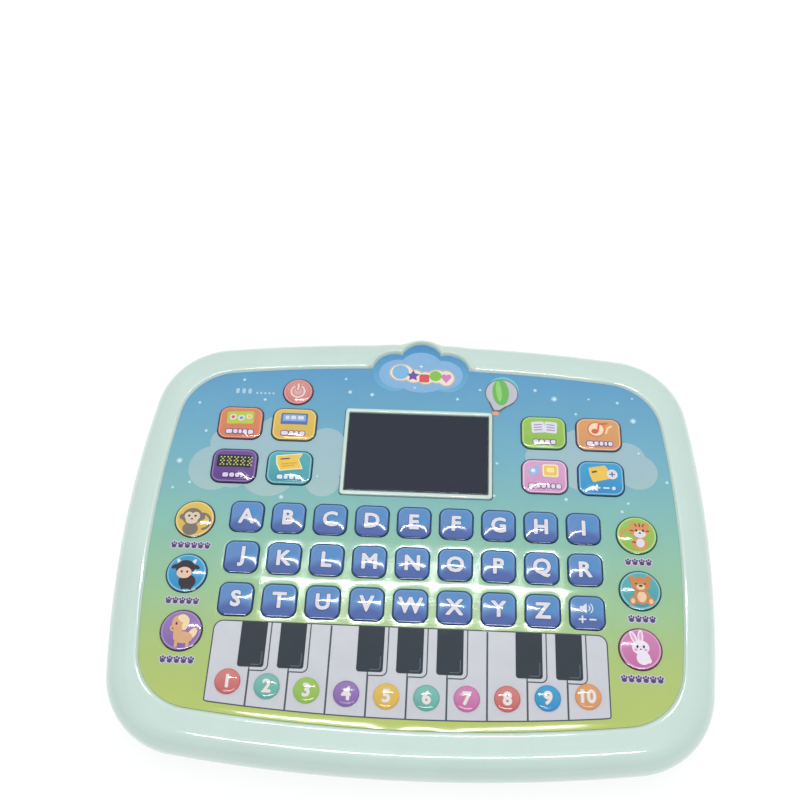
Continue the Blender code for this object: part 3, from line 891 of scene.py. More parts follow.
BAY_WIRE = (
    (32.9, -21.9, 12.0), (34.6, -17.0, 11.0), (33.5, -4.0, 9.5),
    (26.0, 7.0, 10.5), (20.0, 14.0, 13.0), (20.0, 15.5, BOARD_UNDERSIDE),
)
SPEAKER_WIRE = (
    (-53.0, 28.0, 6.9), (-50.5, 28.0, 9.6), (-44.0, 29.0, 11.5),
    (-39.0, 28.0, 13.0), (-37.5, 28.0, BOARD_UNDERSIDE),
)


def turned(profile, place=(0.0, 0.0), sides=32):
    """A solid turned round an upright axis, through (radius, height) points."""
    return loft([at_height(disc(*place, r, sides=sides), height) for r, height in profile])


def drum(radius, low, high, place, sides=32):
    return turned(((radius, low), (radius, high)), place, sides)


def tube(inner, outer, low, high, place):
    profile = ((inner, low), (outer, low), (outer, high), (inner, high))
    rings = [at_height(disc(*place, r, sides=48), height) for r, height in profile]
    return loft(rings, closed=True)


def block(width, depth, low, high, place=(0.0, 0.0), radius=0.0):
    outline = slab(*place, width, depth, radius)
    return loft([at_height(outline, low), at_height(outline, high)])


def joined(solids):
    """The points and faces of several solids as one."""
    points, faces, start = [], [], 0
    for more, theirs in solids:
        points.append(more)
        faces += [tuple(start + k for k in face) for face in theirs]
        start += len(more)
    return np.concatenate(points), faces


def carve(obj, operation, *solids):
    """Changes the object's mesh by a Boolean with the solids."""
    tool = add_mesh("tool", *joined(solids), [])
    change = obj.modifiers.new("carve", "BOOLEAN")
    change.object = tool
    change.operation = operation
    change.solver = "EXACT"
    graph = bpy.context.evaluated_depsgraph_get()
    obj.data = bpy.data.meshes.new_from_object(obj.evaluated_get(graph))
    obj.modifiers.clear()
    bpy.data.objects.remove(tool)
    obj.data.shade_smooth()
    obj.data.set_sharp_from_angle(angle=math.radians(CARVED_SHARP_FROM))


def make_rear_shell(mint):
    angles = ring_angles()[::2]
    edge = reach(casing_depth, angles)
    normal = outward(casing_depth, edge)
    outside = ((12.0, 1.2), (9.5, 1.25), (6.9, 2.05), (4.8, 4.2), (1.6, 10.0), (0.5, 13.7))
    inside = ((2.9, 13.7), (2.9, 16.0), (4.2, 16.0), (4.2, 11.5), (7.2, 4.6), (11.5, FLOOR_TOP))
    profile = [(13.0, FLOOR_UNDERSIDE), *smooth_profile(outside, 5), *inside, (12.8, FLOOR_TOP)]
    rings = [at_height(edge - normal * inset, height) for inset, height in profile]
    shell = add_mesh("rear_shell_moulding", *loft(rings), [mint])
    foot = ((4.6, 0.0), (5.1, 0.1), (5.4, 0.35), (5.5, 0.8), (5.5, INSIDE_FLOOR))
    carve(
        shell,
        "UNION",
        block(66.0, 61.0, INSIDE_FLOOR, BAY_TOP, (0.0, DOOR_Y)),
        tube(18.3, 19.7, INSIDE_FLOOR, 6.2, SPEAKER_PLACE),
        *[drum(WELL_RADIUS, INSIDE_FLOOR, 7.7, place) for place in CASE_SCREWS],
        *[turned(foot, place) for place in FEET],
    )
    carve(shell, "DIFFERENCE", block(62.0, 55.0, BELOW_ALL, 3.5, (0.0, DOOR_Y), 0.8))
    holes = []
    for row in range(-2, 3):
        for column in range(-2, 3):
            x, y = GRILLE_PITCH * (column + row / 2), GRILLE_PITCH * row * math.sin(FULL_TURN / 6)
            if math.hypot(x, y) < 2.1 * GRILLE_PITCH:
                holes.append((SPEAKER_PLACE[0] + x, SPEAKER_PLACE[1] + y))
    carve(
        shell,
        "DIFFERENCE",
        block(57.4, 45.5, BELOW_ALL, 18.8, (0.0, CELL_Y[1])),
        drum(SHANK_HOLE, BELOW_ALL, 12.0, DOOR_SCREW, 20),
        *[drum(1.5, BELOW_ALL, 4.5, place, 20) for place in holes],
        *[drum(HEAD_HOLE, BELOW_ALL, 6.2, place) for place in CASE_SCREWS],
    )
    carve(
        shell,
        "DIFFERENCE",
        *[block(6.6, 5.4, FLOOR_TOP, 5.9, (x, TAB_Y)) for x in TAB_X],
        *[drum(SHANK_HOLE, BELOW_ALL, 30.0, place, 20) for place in CASE_SCREWS],
    )
    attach(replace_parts(shell, "rear_shell"), "casing")


def make_door(mint):
    """The battery door: a plate with grip grooves, a screw recess and two hooked tabs."""
    sizes = ((60.5, 1.2), (61.0, 1.26), (61.4, 1.5), (61.4, FLOOR_TOP))
    plate = loft([at_height(slab(0.0, DOOR_Y, w, w - 7.0, 0.6), height) for w, height in sizes])
    door = add_mesh("battery_door_moulding", *plate, [mint])
    carve(door, "UNION", *[block(6.0, 2.4, 2.2, 4.0, (x, TAB_Y - 1.0)) for x in TAB_X])
    carve(door, "UNION", *[block(6.0, 4.4, 3.5, 4.7, (x, TAB_Y)) for x in TAB_X])
    grooves = [block(18.0, 1.0, BELOW_ALL, 1.6, (0.0, -50.0 + 2.4 * k), 0.4) for k in range(5)]
    carve(door, "DIFFERENCE", drum(HEAD_HOLE, BELOW_ALL, 2.3, DOOR_SCREW), *grooves)
    carve(door, "DIFFERENCE", drum(SHANK_HOLE, BELOW_ALL, 30.0, DOOR_SCREW, 20))
    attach(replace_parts(door, "battery_door"), "battery_door")


def screw(place, low, rise, tip):
    """A pan-head screw from its head's underside, with the head's height and the tip's height."""
    head = low + rise
    rounded = ((1.1, low), (1.9, low + 0.08), (2.45, low + 0.3), (2.7, low + 0.65), (2.7, head))
    return turned((*rounded, (1.1, head), (1.1, tip - 0.8), (0.4, tip)), place, 24)


def cross_recess(place, top):
    outline = [(0.3, 0.3), (0.3, 1.4), (-0.3, 1.4), (-0.3, 0.3), (-1.4, 0.3), (-1.4, -0.3)]
    outline += [(-x, -y) for x, y in outline]
    moved = [(x + place[0], y + place[1]) for x, y in outline]
    return loft([at_height(moved, BELOW_ALL), at_height(moved, top)])


def make_screws(steel):
    screws = [screw(place, 4.5, 1.65, 14.0) for place in CASE_SCREWS]
    case_screws = add_mesh("case_screws", *joined(screws), [steel])
    carve(case_screws, "DIFFERENCE", *[cross_recess(place, 5.5) for place in CASE_SCREWS])
    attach(case_screws, "casing")
    door_screw = add_mesh("door_screw", *screw(DOOR_SCREW, 1.25, 1.0, 3.4), [steel])
    carve(door_screw, "DIFFERENCE", cross_recess(DOOR_SCREW, 1.9))
    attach(door_screw, "battery_door")


def make_posts(mint):
    """The front shell's screw posts and the posts that the circuit board hangs on."""
    profile = ((1.2, 16.0), (1.2, 8.0), (3.5, 8.0), (3.5, POST_TOP))
    posts = [turned(profile, place) for place in CASE_SCREWS]
    posts += [drum(2.5, 16.9, POST_TOP, place) for place in BOARD_POSTS]
    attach(add_mesh("front_shell_posts", *joined(posts), [mint]), "casing")


def spring(y):
    """A tapering battery spring along X, standing on the bay's -X wall."""
    steps = int(SPRING_TURNS * 20)
    around = [FULL_TURN * k / 8 for k in range(8)]
    rings = []
    for step in range(steps + 1):
        share = step / (SPRING_TURNS * 20)
        angle = FULL_TURN * SPRING_TURNS * share
        out = np.array([0.0, math.cos(angle), math.sin(angle)])
        middle = np.array([-27.9 + 3.4 * share, y, CELL_HEIGHT]) + out * (4.4 - 2.2 * share)
        ring = [np.array([math.cos(a), 0, 0]) + out * math.sin(a) for a in around]
        rings.append(middle + SPRING_WIRE * np.array(ring))
    return loft(rings)


def make_contacts(steel):
    """The spring and the two contact plates of each of the three cells."""
    solids = [spring(y) for y in CELL_Y]
    for y in CELL_Y:
        for x in (-28.45, 28.45):
            solids.append(block(0.3, 10.0, CELL_HEIGHT - 5.0, CELL_HEIGHT + 5.0, (x, y)))
    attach(add_mesh("battery_contacts", *joined(solids), [steel]), "casing")


def wire(points):
    """A round wire along a smooth curve through the points."""
    path = np.array(smooth_profile(points, 6))
    way = np.gradient(path, axis=0)
    way /= np.linalg.norm(way, axis=1)[:, None]
    side = np.cross(way, (0.3, 1.0, 0.1))
    side /= np.linalg.norm(side, axis=1)[:, None]
    other = np.cross(way, side)
    turns = np.linspace(0, FULL_TURN, 10, endpoint=False)
    rings = []
    for middle, a, b in zip(path, side, other):
        ring = np.outer(np.cos(turns), a) + np.outer(np.sin(turns), b)
        rings.append(middle + WIRE_RADIUS * ring)
    return loft(rings)


def make_electronics():
    """The board's larger components, and the wires to it from the battery bay and the speaker."""
    blob = ((1.5, 13.3), (3.4, 13.5), (4.8, 14.0), (5.5, 14.7), (5.6, BOARD_UNDERSIDE))
    solids = [turned(blob, (0.0, 30.0))]
    solids += [drum(2.2, 9.5, BOARD_UNDERSIDE, place) for place in CAPACITORS]
    for x, y, width, depth in CHIPS:
        solids.append(block(width, depth, 13.7, BOARD_UNDERSIDE, (x, y)))
    for k in range(4):
        solids.append(block(1.6, 0.9, 14.4, BOARD_UNDERSIDE, (8.0 + 3.0 * k, 52.0)))
    epoxy = moulded("black_epoxy", tone(36, 36, 40))
    parts = add_mesh("board_components", *joined(solids), [epoxy])
    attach(parts, "casing")
    for name, side, colour in (("red", -1.0, tone(190, 40, 40)), ("black", 1.0, tone(34, 34, 38))):
        bay = wire([(side * x, y, z) for x, y, z in BAY_WIRE])
        speaker = wire([(x, y + 1.6 * side, z) for x, y, z in SPEAKER_WIRE])
        insulation = moulded(f"{name}_insulation", colour)
        wires = add_mesh(f"{name}_wires", *joined([bay, speaker]), [insulation])
        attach(wires, "casing")


def make_window(glass):
    width, depth = RIM_HIGH.x - RIM_LOW.x, RIM_HIGH.y - RIM_LOW.y
    low, top = RIM_LOW.z, RIM_HIGH.z
    rings = [
        frame_ring(width, depth, 0.3, low),
        frame_ring(width, depth, 0.3, top - 0.25),
        frame_ring(width - 0.15, depth - 0.15, 0.25, top - 0.07),
        frame_ring(width - 0.5, depth - 0.5, 0.2, top),
        frame_ring(width - 1.0, depth - 1.0, 0.2, top),
    ]
    window = add_mesh("screen_glass", *loft(rings), [glass])
    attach(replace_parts(window, "screen_window"), "casing")


# ---------------------------------------------------------------- printed sheet


def key_loop(kind, x, y, size, growth=0.0):
    """A key's outline, made larger all round by the growth."""
    if kind in CORNERS:
        radius = CORNERS[kind] + growth
        return slab(x, y, size.x + 2 * growth, size.y + 2 * growth, radius, steps=8)
    return disc(x, y, size.x / 2 + growth, sides=48)


def make_sheet(ground):
    angles = ring_angles()
    edge = reach(sheet_depth, angles)
    loops = [edge.tolist()]
    for _, kind, middle, size in KEYS:
        loops.append(key_loop(kind, middle.x, middle.y, size, GAP))
    loops.append(slab(0.0, SCREEN_Y, RIM_SIZE[0] + 2 * GAP, RIM_SIZE[1] + 2 * GAP, 1.4))
    points, faces = fill([], loops, 1.3)
    body = thicken(points, faces, sheet_height, lambda x, y: sheet_height(x, y) - PRINTED_THICKNESS)
    sheet = add_mesh("printed_sheet", *body, [ground], surface=sheet_height)
    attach(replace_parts(sheet, "graphic_overlay"), "casing")


STARS = (
    (-77.7, 70.7, 0.8), (-95.9, 58.2, 0.8), (-91.1, 44.2, 0.8), (-100.3, 29.3, 1.4),
    (-94.5, 19.3, 0.8), (-101.2, 16.6, 0.7), (-67.5, 60.8, 0.8), (-55.5, 13.9, 1.1),
    (-32.9, 72.8, 0.7), (-30.6, 66.1, 1.0), (-20.9, 65.1, 1.0), (-41.4, 24.1, 0.7),
    (50.2, 70.0, 0.9), (58.4, 65.9, 1.4), (73.3, 66.3, 0.6), (85.6, 64.9, 0.8),
    (91.8, 56.0, 1.4), (67.5, 58.6, 0.7), (92.1, 67.3, 0.6), (93.1, 40.2, 0.8),
    (103.9, 26.9, 0.8), (33.6, 33.2, 0.7), (32.5, 18.0, 0.7), (62.0, 17.5, 0.9),
    (87.3, 16.6, 0.7), (84.6, 12.8, 0.8), (16.4, 64.2, 0.8), (26.2, 69.3, 0.7),
)

LEFT_CLOUD = (
    (-85.5, 26.5, 10.5), (-81.0, 39.0, 7.5), (-70.0, 34.0, 10.0), (-57.5, 41.0, 12.6),
    (-39.0, 38.9, 8.6), (-36.5, 29.5, 6.5), (-39.0, 22.0, 7.2), (-62.0, 26.0, 12.0),
    (-50.0, 28.0, 9.0), (-77.0, 25.0, 7.6),
)
RIGHT_CLOUD = (
    (69.5, 41.0, 10.2), (79.0, 37.0, 9.0), (87.8, 37.2, 8.0), (92.2, 31.4, 8.2),
    (50.0, 37.0, 4.6), (57.0, 37.5, 5.6), (68.0, 30.0, 7.8), (80.0, 31.0, 8.0),
)


def make_sky():
    clouds = Print("sheet_clouds", sheet_height, 1.8)
    veil = sky_print("cloud_veil", tone(192, 206, 206), 0.5)
    modes = [(middle, size) for _, kind, middle, size in KEYS if kind == "mode"]
    holes = [key_loop("mode", middle.x, middle.y, size, GAP + 0.1) for middle, size in modes]
    for cloud in (LEFT_CLOUD, RIGHT_CLOUD):
        clouds.add(veil, [disc(*spot, sides=56) for spot in cloud], 1, cut=holes)
    clouds.finish("casing")

    stars = Print("sheet_stars", sheet_height, 1.5)
    halo = sky_print("star_halo", tone(186, 226, 240), 0.45)
    core = ink(214, 238, 246)
    for x, y, radius in STARS:
        stars.add(halo, [disc(x, y, radius, sides=16)], 2)
        stars.add(core, [star(x, y, radius * 0.8, 0.5, 4)], 3)
    stars.finish("casing")


BADGE_MIDDLE = (0.0, 79.0)
BADGE_CLOUD = (
    (0.0, 80.3, 9.3, 7.8), (-9.8, 76.4, 8.7, 7.6), (9.8, 76.4, 8.7, 7.6), (0.5, 71.6, 9.6, 4.6),
)
BADGE_PLATE = (
    (-8.6, 77.2, 5.0, 4.1), (-3.0, 75.4, 3.8, 3.2), (2.2, 74.6, 3.6, 3.0),
    (7.0, 75.6, 3.8, 3.3), (11.2, 74.8, 3.4, 3.8),
)


def make_badge():
    """The cloud badge, with five plain shapes on it in place of a word."""
    art = Print("badge_print", sheet_height, 1.6)
    angles = np.linspace(0, FULL_TURN, 240, endpoint=False)
    outline = reach(badge_depth, angles, 0.25, 0.0, 22.0, BADGE_MIDDLE)
    dome = Look("badge_blue", 0.08)
    blues = [(0.0, tone(110, 176, 212)), (1.0, tone(70, 142, 196))]
    dome.paint(dome.ramp(dome.place()[1], 68.0, 92.0, blues), 0.12, 0.03).worn(0.05, 0.08)
    art.add(dome.material, [outline.tolist()], 1)
    art.add(ink(136, 182, 222), [disc(*spot, sides=40) for spot in BADGE_CLOUD], 2)
    for level, growth, colour in ((3, 0.6, (196, 184, 178)), (4, 0.0, (240, 230, 210))):
        spots = [disc(x, y, a + growth, b + growth, sides=36) for x, y, a, b in BADGE_PLATE]
        art.add(ink(*colour), spots, level)
    art.add(ink(130, 186, 226), [disc(-9.0, 77.3, 3.7)], 5)
    art.add(ink(120, 84, 168), [star(-3.4, 75.6, 3.0, 0.5)], 5)
    art.add(ink(220, 92, 90), [slab(1.6, 74.4, 4.4, 4.2, 0.9)], 5)
    art.add(ink(140, 196, 84), [disc(6.5, 75.8, 2.7)], 5)
    heart = [*pair(11.25, 75.6, 1.05, 1.25), [(9.15, 75.0), (13.35, 75.0), (11.25, 72.3)]]
    art.add(ink(220, 130, 190), heart, 5)
    art.add(ink(*WHITE), [star(0.0, 80.6, 1.0, 0.42, 4), star(-2.4, 69.4, 0.8, 0.42, 4)], 5)
    art.finish("casing")


def make_balloon():
    art = Print("balloon_print", sheet_height, 1.5)
    x, y, radius = 35.6, 68.0, 7.0
    glow = sky_print("balloon_glow", tone(120, 214, 214), 0.7)
    art.add(glow, [disc(x + 0.6, y + 1.6, radius * 0.98)], 1)
    skirt = [(x - 6.4, y - 3.0), (x + 6.4, y - 3.0), (x - 0.6, y - 9.6), (x - 3.8, y - 9.6)]
    art.add(ink(112, 116, 130), [disc(x, y, radius + 0.25), skirt], 2)
    skirt = [(x - 5.6, y - 3.4), (x + 5.6, y - 3.4), (x - 1.0, y - 8.6), (x - 3.2, y - 8.6)]
    art.add(ink(196, 196, 206), [disc(x, y, radius - 0.2), skirt], 3)
    art.add(ink(112, 188, 92), [disc(x - 0.4, y + 0.4, 3.6, 6.6, 4.0)], 4)
    art.add(ink(150, 214, 120), [disc(x - 1.2, y + 1.0, 1.2, 5.2, 6.0)], 5)
    ropes = stroke([(x - 5.2, y - 4.6), (x - 3.4, y - 9.6)], 0.35)
    ropes += stroke([(x + 5.2, y - 4.6), (x - 1.6, y - 9.6)], 0.35)
    art.add(ink(96, 100, 112), ropes, 5)
    art.add(ink(222, 168, 140), [slab(x - 2.6, y - 10.4, 2.8, 2.0, 0.5)], 5)
    art.finish("casing")


PIANO_HALF = 75.3
PIANO_TOP = -40.2
PIANO_FRONT = -74.8
PIANO_RISE = 3.6
IVORY_PITCH = 15.0
BLACK_KEYS = (-59.7, -44.5, -14.4, 0.7, 15.9, 45.8, 60.9)
BLACK_FRONT = -57.9
BLACK_WIDTH = 10.1


def piano_front(x):
    return PIANO_FRONT + PIANO_RISE * (x / PIANO_HALF) ** 2


def piano_outline(growth):
    half = PIANO_HALF + growth
    corner = 3.4 + growth
    top = PIANO_TOP + growth
    points = bow(half - corner, top - corner, corner, 0, 90, 6)
    points += bow(-(half - corner), top - corner, corner, 90, 180, 6)
    low = 0.6 + growth
    points += bow(-(half - low), piano_front(half) + low - growth, low, 180, 262, 5)
    for x in np.linspace(-(half - 2.0), half - 2.0, 41):
        points.append((x, piano_front(x) - growth))
    points += bow(half - low, piano_front(half) + low - growth, low, 278, 360, 5)
    return points


def make_piano():
    art = Print("piano_print", sheet_height, 1.6)
    line = ink(76, 86, 94)
    art.add(line, [piano_outline(0.5)], 1)
    ivory = Look("ivory_keys", 0.08)
    y = ivory.place()[1]
    shade = ivory.ramp(y, -75.0, -40.0, [(0.0, tone(206, 207, 213)), (1.0, tone(208, 211, 217))])
    ivory.paint(shade, 0.12, 0.05).worn(0.05, 0.08)
    art.add(ivory.material, [piano_outline(0.0)], 2)
    joins = []
    for k in range(-4, 5):
        x = IVORY_PITCH * k
        top = PIANO_TOP - 0.2 if k in (-2, 2) else BLACK_FRONT - 0.5
        joins.append(slab(x, (top + piano_front(x)) / 2, 0.7, top - piano_front(x)))
    art.add(line, joins, 3)
    side = ink(204, 208, 213)
    for x in BLACK_KEYS:
        join = IVORY_PITCH * round(x / IVORY_PITCH)
        for growth, level, material in ((0.0, 4, line), (-0.45, 5, side)):
            right, low = x + BLACK_WIDTH / 2 + 1.75 + growth, BLACK_FRONT - 1.5 - growth
            turn = 2.4 + growth
            shape = [(join - 0.25 - growth, PIANO_TOP), (join - 0.25 - growth, low)]
            shape += bow(right - turn, low + turn, turn, 270, 360, 6) + [(right, PIANO_TOP)]
            art.add(material, [shape], level)
        low = BLACK_FRONT
        left, right = x - BLACK_WIDTH / 2, x + BLACK_WIDTH / 2
        shape = [(left, PIANO_TOP)] + bow(left + 1.1, low + 1.1, 1.1, 180, 270, 5)
        shape += bow(right - 1.1, low + 1.1, 1.1, 270, 360, 5) + [(right, PIANO_TOP)]
        art.add(ink(*BLACK), [shape], 6)
        corner = bow(right - 2.1, low + 2.0, 1.0, 0, -90, 4)
        gleam = [(right - 1.1, low + 6.0), *corner, (right - 5.0, low + 1.0)]
        art.add(ink(92, 104, 114), stroke(gleam, 0.32, 8), 7)
    art.finish("casing")


# How many paw prints stand under each animal, from the back to the front.
PAWS = {"left": (6, 5, 5), "right": (4, 4, 6)}
PAWS_BELOW = 11.6


def make_captions():
    """Paw prints in place of the words under the animals, bars and dots beside the power key."""
    art = Print("caption_print", sheet_height, 1.5)
    dark, pale = ink(88, 70, 118), ink(206, 204, 220)
    for side, counts in PAWS.items():
        for number, count in enumerate(counts, 1):
            low, high = box_mm(f"animal_key_{side}_{number}")
            x, y = (low.x + high.x) / 2, (low.y + high.y) / 2 - PAWS_BELOW
            marks, edges = paw_marks(x, y, count)
            art.add(pale, edges, 2)
            art.add(dark, marks, 3)
    bars = [slab(-80.0 + 2.7 * k, 64.9, 1.5, 2.6, 0.5) for k in range(3)]
    dots = [disc(-71.4 + 1.8 * k, 64.1, 0.55, sides=14) for k in range(5)]
    art.add(ink(176, 208, 226), bars + dots, 2)
    art.finish("casing")


def paw_marks(x, y, count):
    """A row of small paw prints, and the pale edge round them."""
    marks, edges = [], []
    pitch = 2.7
    for k in range(count):
        px = x + (k - (count - 1) / 2) * pitch
        for growth, found in ((0.0, marks), (0.38, edges)):
            found.append(disc(px, y - 0.4, 1.0 + growth, 0.85 + growth, sides=16))
            for dx, dy in ((-0.86, 0.66), (0.0, 1.14), (0.86, 0.66)):
                found.append(disc(px + dx, y + dy, 0.38 + growth, 0.5 + growth, sides=12))
    return marks, edges


# ---------------------------------------------------------------- keys


def cap_height(kind, size):
    """The height of a key's face above the sheet's top, round its own middle."""
    half_x, half_y = size.x / 2, size.y / 2

    def height(x, y):
        if kind in CORNERS:
            fall = 1 - (1 - (x / half_x) ** 2) * (1 - (y / half_y) ** 2)
        else:
            fall = (x * x + y * y) / half_x**2
        crown = KEY_CROWN - CROWN_RISE * fall
        near = np.clip(1 - key_depth(kind, size, x, y) / SHOULDER_WIDTH, 0.0, 1.0)
        return crown - SHOULDER_DROP * near**2 - SHEET_TOP

    return height


EDGE = 0.46
ROUND_EDGE = 0.36
BORDER = 1.0


def make_cap(node, kind, middle, size, tones):
    """A domed cap with a dark outline, a light inner border and a printed face; on the letter keys
    the border and face tones also carry a painted reflection and highlight.
    """
    height = cap_height(kind, size)
    base = np.array(key_loop(kind, 0.0, 0.0, size))
    low = box_mm(node)[0].z - SHEET_TOP
    rings = [at_height(base, low)]
    edge = EDGE if kind in CORNERS else ROUND_EDGE
    insets = (0.0, 0.05, 0.15, edge, 0.75, BORDER, 1.4, 2.0, 2.6)
    for inset in insets:
        ring = np.array(key_loop(kind, 0.0, 0.0, size, -inset))
        top = height(ring[:, 0], ring[:, 1])
        if inset == 0.0:
            top = top - 0.12
        rings.append(at_height(ring, top))
    last = rings[-1][:, :2]
    for share in (0.75, 0.5, 0.25):
        ring = last * share
        rings.append(at_height(ring, height(ring[:, 0], ring[:, 1])))
    points, faces = loft(rings)
    # The tones count up inwards: 0 for the edge, 1 for the border, 2 for the face.
    finishes = []
    for number in range(len(rings) - 1):
        tone_number = int(number > insets.index(edge)) + int(number > insets.index(BORDER))
        finishes += [tone_number] * len(base)
    finishes += [0, 2]
    place = (middle.x, middle.y, SHEET_TOP)
    cap = add_mesh(f"{node}_cap", points, faces, tones, finishes, place, surface=height)
    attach(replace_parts(cap, node), node)


TONE_CACHE = {}


def cap_tones(kind, colour, size):
    """The materials of a cap's edge, border and face."""
    if (kind, colour) not in TONE_CACHE:
        upper, lower, edge, border = (tone(*value) for value in KEY_TONES[colour])
        half = size.y / 2
        name = f"{kind}_{colour}"
        if kind == "letter":
            # Letter keys: the glow is a painted highlight, and the border is light above the split
            # and dark below it, the same painted reflection as on the face.
            split, soft = 0.42, 0.12
            glow = (tone(62, 146, 202), (2.2, 1.4, 1.0), 4.4)
            low_border = tone(76, 100, 168)
        else:
            split, soft, glow, low_border = 0.4, 0.4, None, border
        if kind == "power":
            # The power key's glow makes the middle of its face paler.
            glow = (tone(238, 200, 194), (0.0, 0.0, 1.0), 6.4)
        if kind == "piano":
            if colour == "teal":
                upper, lower = tone(122, 188, 178), tone(98, 170, 160)
            edge, border, low_border = lower, upper, lower
        TONE_CACHE[(kind, colour)] = [
            key_face(f"{name}_edge", edge, edge, half, 0.5, 0.2),
            key_face(f"{name}_border", border, low_border, half, 0.5, 0.3),
            key_face(f"{name}_face", upper, lower, half, split, soft, glow),
        ]
    return TONE_CACHE[(kind, colour)]


PIANO_TONES = (
    "coral", "teal", "green", "lilac", "yellow", "teal", "magenta", "coral", "sky", "apricot",
)
ANIMAL_TONES = {"left": ("yellow", "sky", "lilac"), "right": ("green", "teal", "magenta")}


def tone_of(node, kind):
    if kind == "letter":
        return "blue"
    if kind == "power":
        return "coral"
    if kind == "mode":
        return node.rsplit("_", 1)[1].replace("blue", "sky")
    if kind == "piano":
        return PIANO_TONES[int(node.rsplit("_", 1)[1]) - 1]
    side, number = node.split("_")[2:]
    return ANIMAL_TONES[side][int(number) - 1]


LETTER_LAYERS = (((62, 80, 146), 0.54), (WHITE, 0.33))
NUMERAL_LAYERS = (((206, 190, 186), 0.34), ((234, 228, 224), 0.22))


def write(art, text, height, layers):
    """Bold lettering, in layers of (tone, weight) from the lowest up."""
    loops = lettering(text, height)
    for level, (colour, weight) in enumerate(layers, 1):
        art.add(ink(*colour), bold(loops, weight), level, holed=loops)


def volume_art(art):
    """A loudspeaker above a plus and a minus."""
    sign = [slab(-2.2, 1.6, 1.3, 1.7), [(-1.7, 2.4), (-0.2, 3.7), (-0.2, -0.5), (-1.7, 0.8)]]
    for radius, steps in ((1.3, 6), (2.4, 8)):
        sign += stroke(bow(-0.3, 1.6, radius, -45, 45, steps), 0.45)
    sign += plus(-2.0, -2.9, 1.2, 0.65) + minus(2.0, -2.9, 1.1, 0.65)
    art.add(ink(*WHITE), sign, 2)


def power_art(art):
    for level, width, colour in ((1, 1.5, (176, 84, 88)), (2, 1.0, (236, 212, 204))):
        sign = stroke(bow(0.0, -0.2, 2.9, 125, 415, 26), width)
        sign += stroke([(0.0, 0.6), (0.0, 3.6)], width)
        art.add(ink(*colour), sign, level)


def caption_bars(art, x, y, lengths, fill_tone, edge_tone):
    """A row of short rounded bars in place of a word."""
    lengths = [length * 1.1 for length in lengths]
    start = x - (sum(lengths) + 0.5 * (len(lengths) - 1)) / 2
    bars, edges = [], []
    for length in lengths:
        bars.append(slab(start + length / 2, y, length, 1.9, 0.6, steps=3))
        edges.append(slab(start + length / 2, y, length + 0.7, 2.6, 0.9, steps=3))
        start += length + 0.5
    art.add(ink(*edge_tone), edges, 1)
    art.add(ink(*fill_tone), bars, 2)


VIOLET = (112, 70, 150)
YELLOW_CARD = (240, 200, 86)
CARD_MARK = (96, 92, 84)


def dials_art(art):
    art.add(ink(188, 206, 72), [slab(-0.2, 2.2, 11.6, 6.2, 0.8, 2)], 1)
    art.add(ink(*WHITE), [disc(-3.4, 2.4, 1.5), disc(0.2, 2.0, 1.5), disc(3.5, 2.8, 1.3)], 2)
    art.add(ink(222, 96, 80), [disc(-3.4, 2.4, 0.8)], 3)
    art.add(ink(84, 150, 214), [star(0.2, 2.0, 1.1, 0.5)], 3)
    art.add(ink(240, 196, 70), [slab(3.6, 2.8, 1.3, 1.3, 0.2)], 3)
    caption_bars(art, 0.2, -4.6, (2.4, 1.6, 1.2, 1.6, 2.0), WHITE, VIOLET)


def windows_art(art):
    art.add(ink(86, 118, 176), [slab(-0.2, 2.5, 11.6, 5.6, 0.6)], 1)
    art.add(ink(140, 176, 224), [slab(-0.2, 2.9, 10.0, 3.4, 0.4)], 2)
    panes = ((-3.2, 1.7), (-0.6, 2.2), (2.6, 2.6))
    art.add(ink(*WHITE), [slab(x, 3.0, width, 1.8, 0.5) for x, width in panes], 3)
    caption_bars(art, -0.2, -4.6, (2.6, 1.8, 1.4, 2.0), WHITE, VIOLET)


def book_art(art):
    pages = ((-2.4, 4), (3.0, -4))
    art.add(ink(226, 226, 236), [slab(x, 2.4, 5.4, 5.6, 0.7, turn) for x, turn in pages], 1)
    lines = [slab(x, 3.6 - k * 1.3, 3.6, 0.5, 0.2, turn) for x, turn in pages for k in range(3)]
    art.add(ink(168, 150, 196), lines, 2)
    caption_bars(art, 0.2, -4.6, (2.0, 1.6, 1.8, 1.8), WHITE, VIOLET)


def music_art(art):
    art.add(ink(214, 122, 74), [disc(-1.0, 2.2, 3.7)], 1)
    art.add(ink(250, 220, 190), [disc(-1.0, 2.2, 3.2)], 2)
    stem = stroke([(-0.3, 1.4), (0.2, 4.8), (3.6, 5.4)], 0.8)
    art.add(ink(222, 104, 70), [disc(-1.6, 1.2, 1.5, 1.2), *stem], 3)
    art.add(ink(250, 214, 150), stroke([(3.0, 0.4), (4.0, 3.0), (5.4, 4.0)], 0.9), 3)
    caption_bars(art, 0.2, -4.6, (2.4, 1.6, 1.4, 1.0, 1.6), WHITE, VIOLET)


def lit_panel_art(art):
    art.add(ink(40, 36, 48), [slab(-0.2, 2.0, 14.6, 5.8, 0.9)], 1)
    lit = []
    for k in range(5):
        x = -5.9 + 2.9 * k
        lit += [slab(x + 0.75 * (n % 2), 0.2 + 0.9 * n, 0.62, 0.62) for n in range(5)]
        lit += [slab(x + 1.4, 0.2 + 1.8 * n, 0.62, 0.62) for n in range(3)]
    art.add(ink(200, 214, 110), lit, 2)
    caption_bars(art, 0.0, -4.6, (2.2, 1.8, 1.6, 1.0), (226, 206, 240), (70, 44, 104))


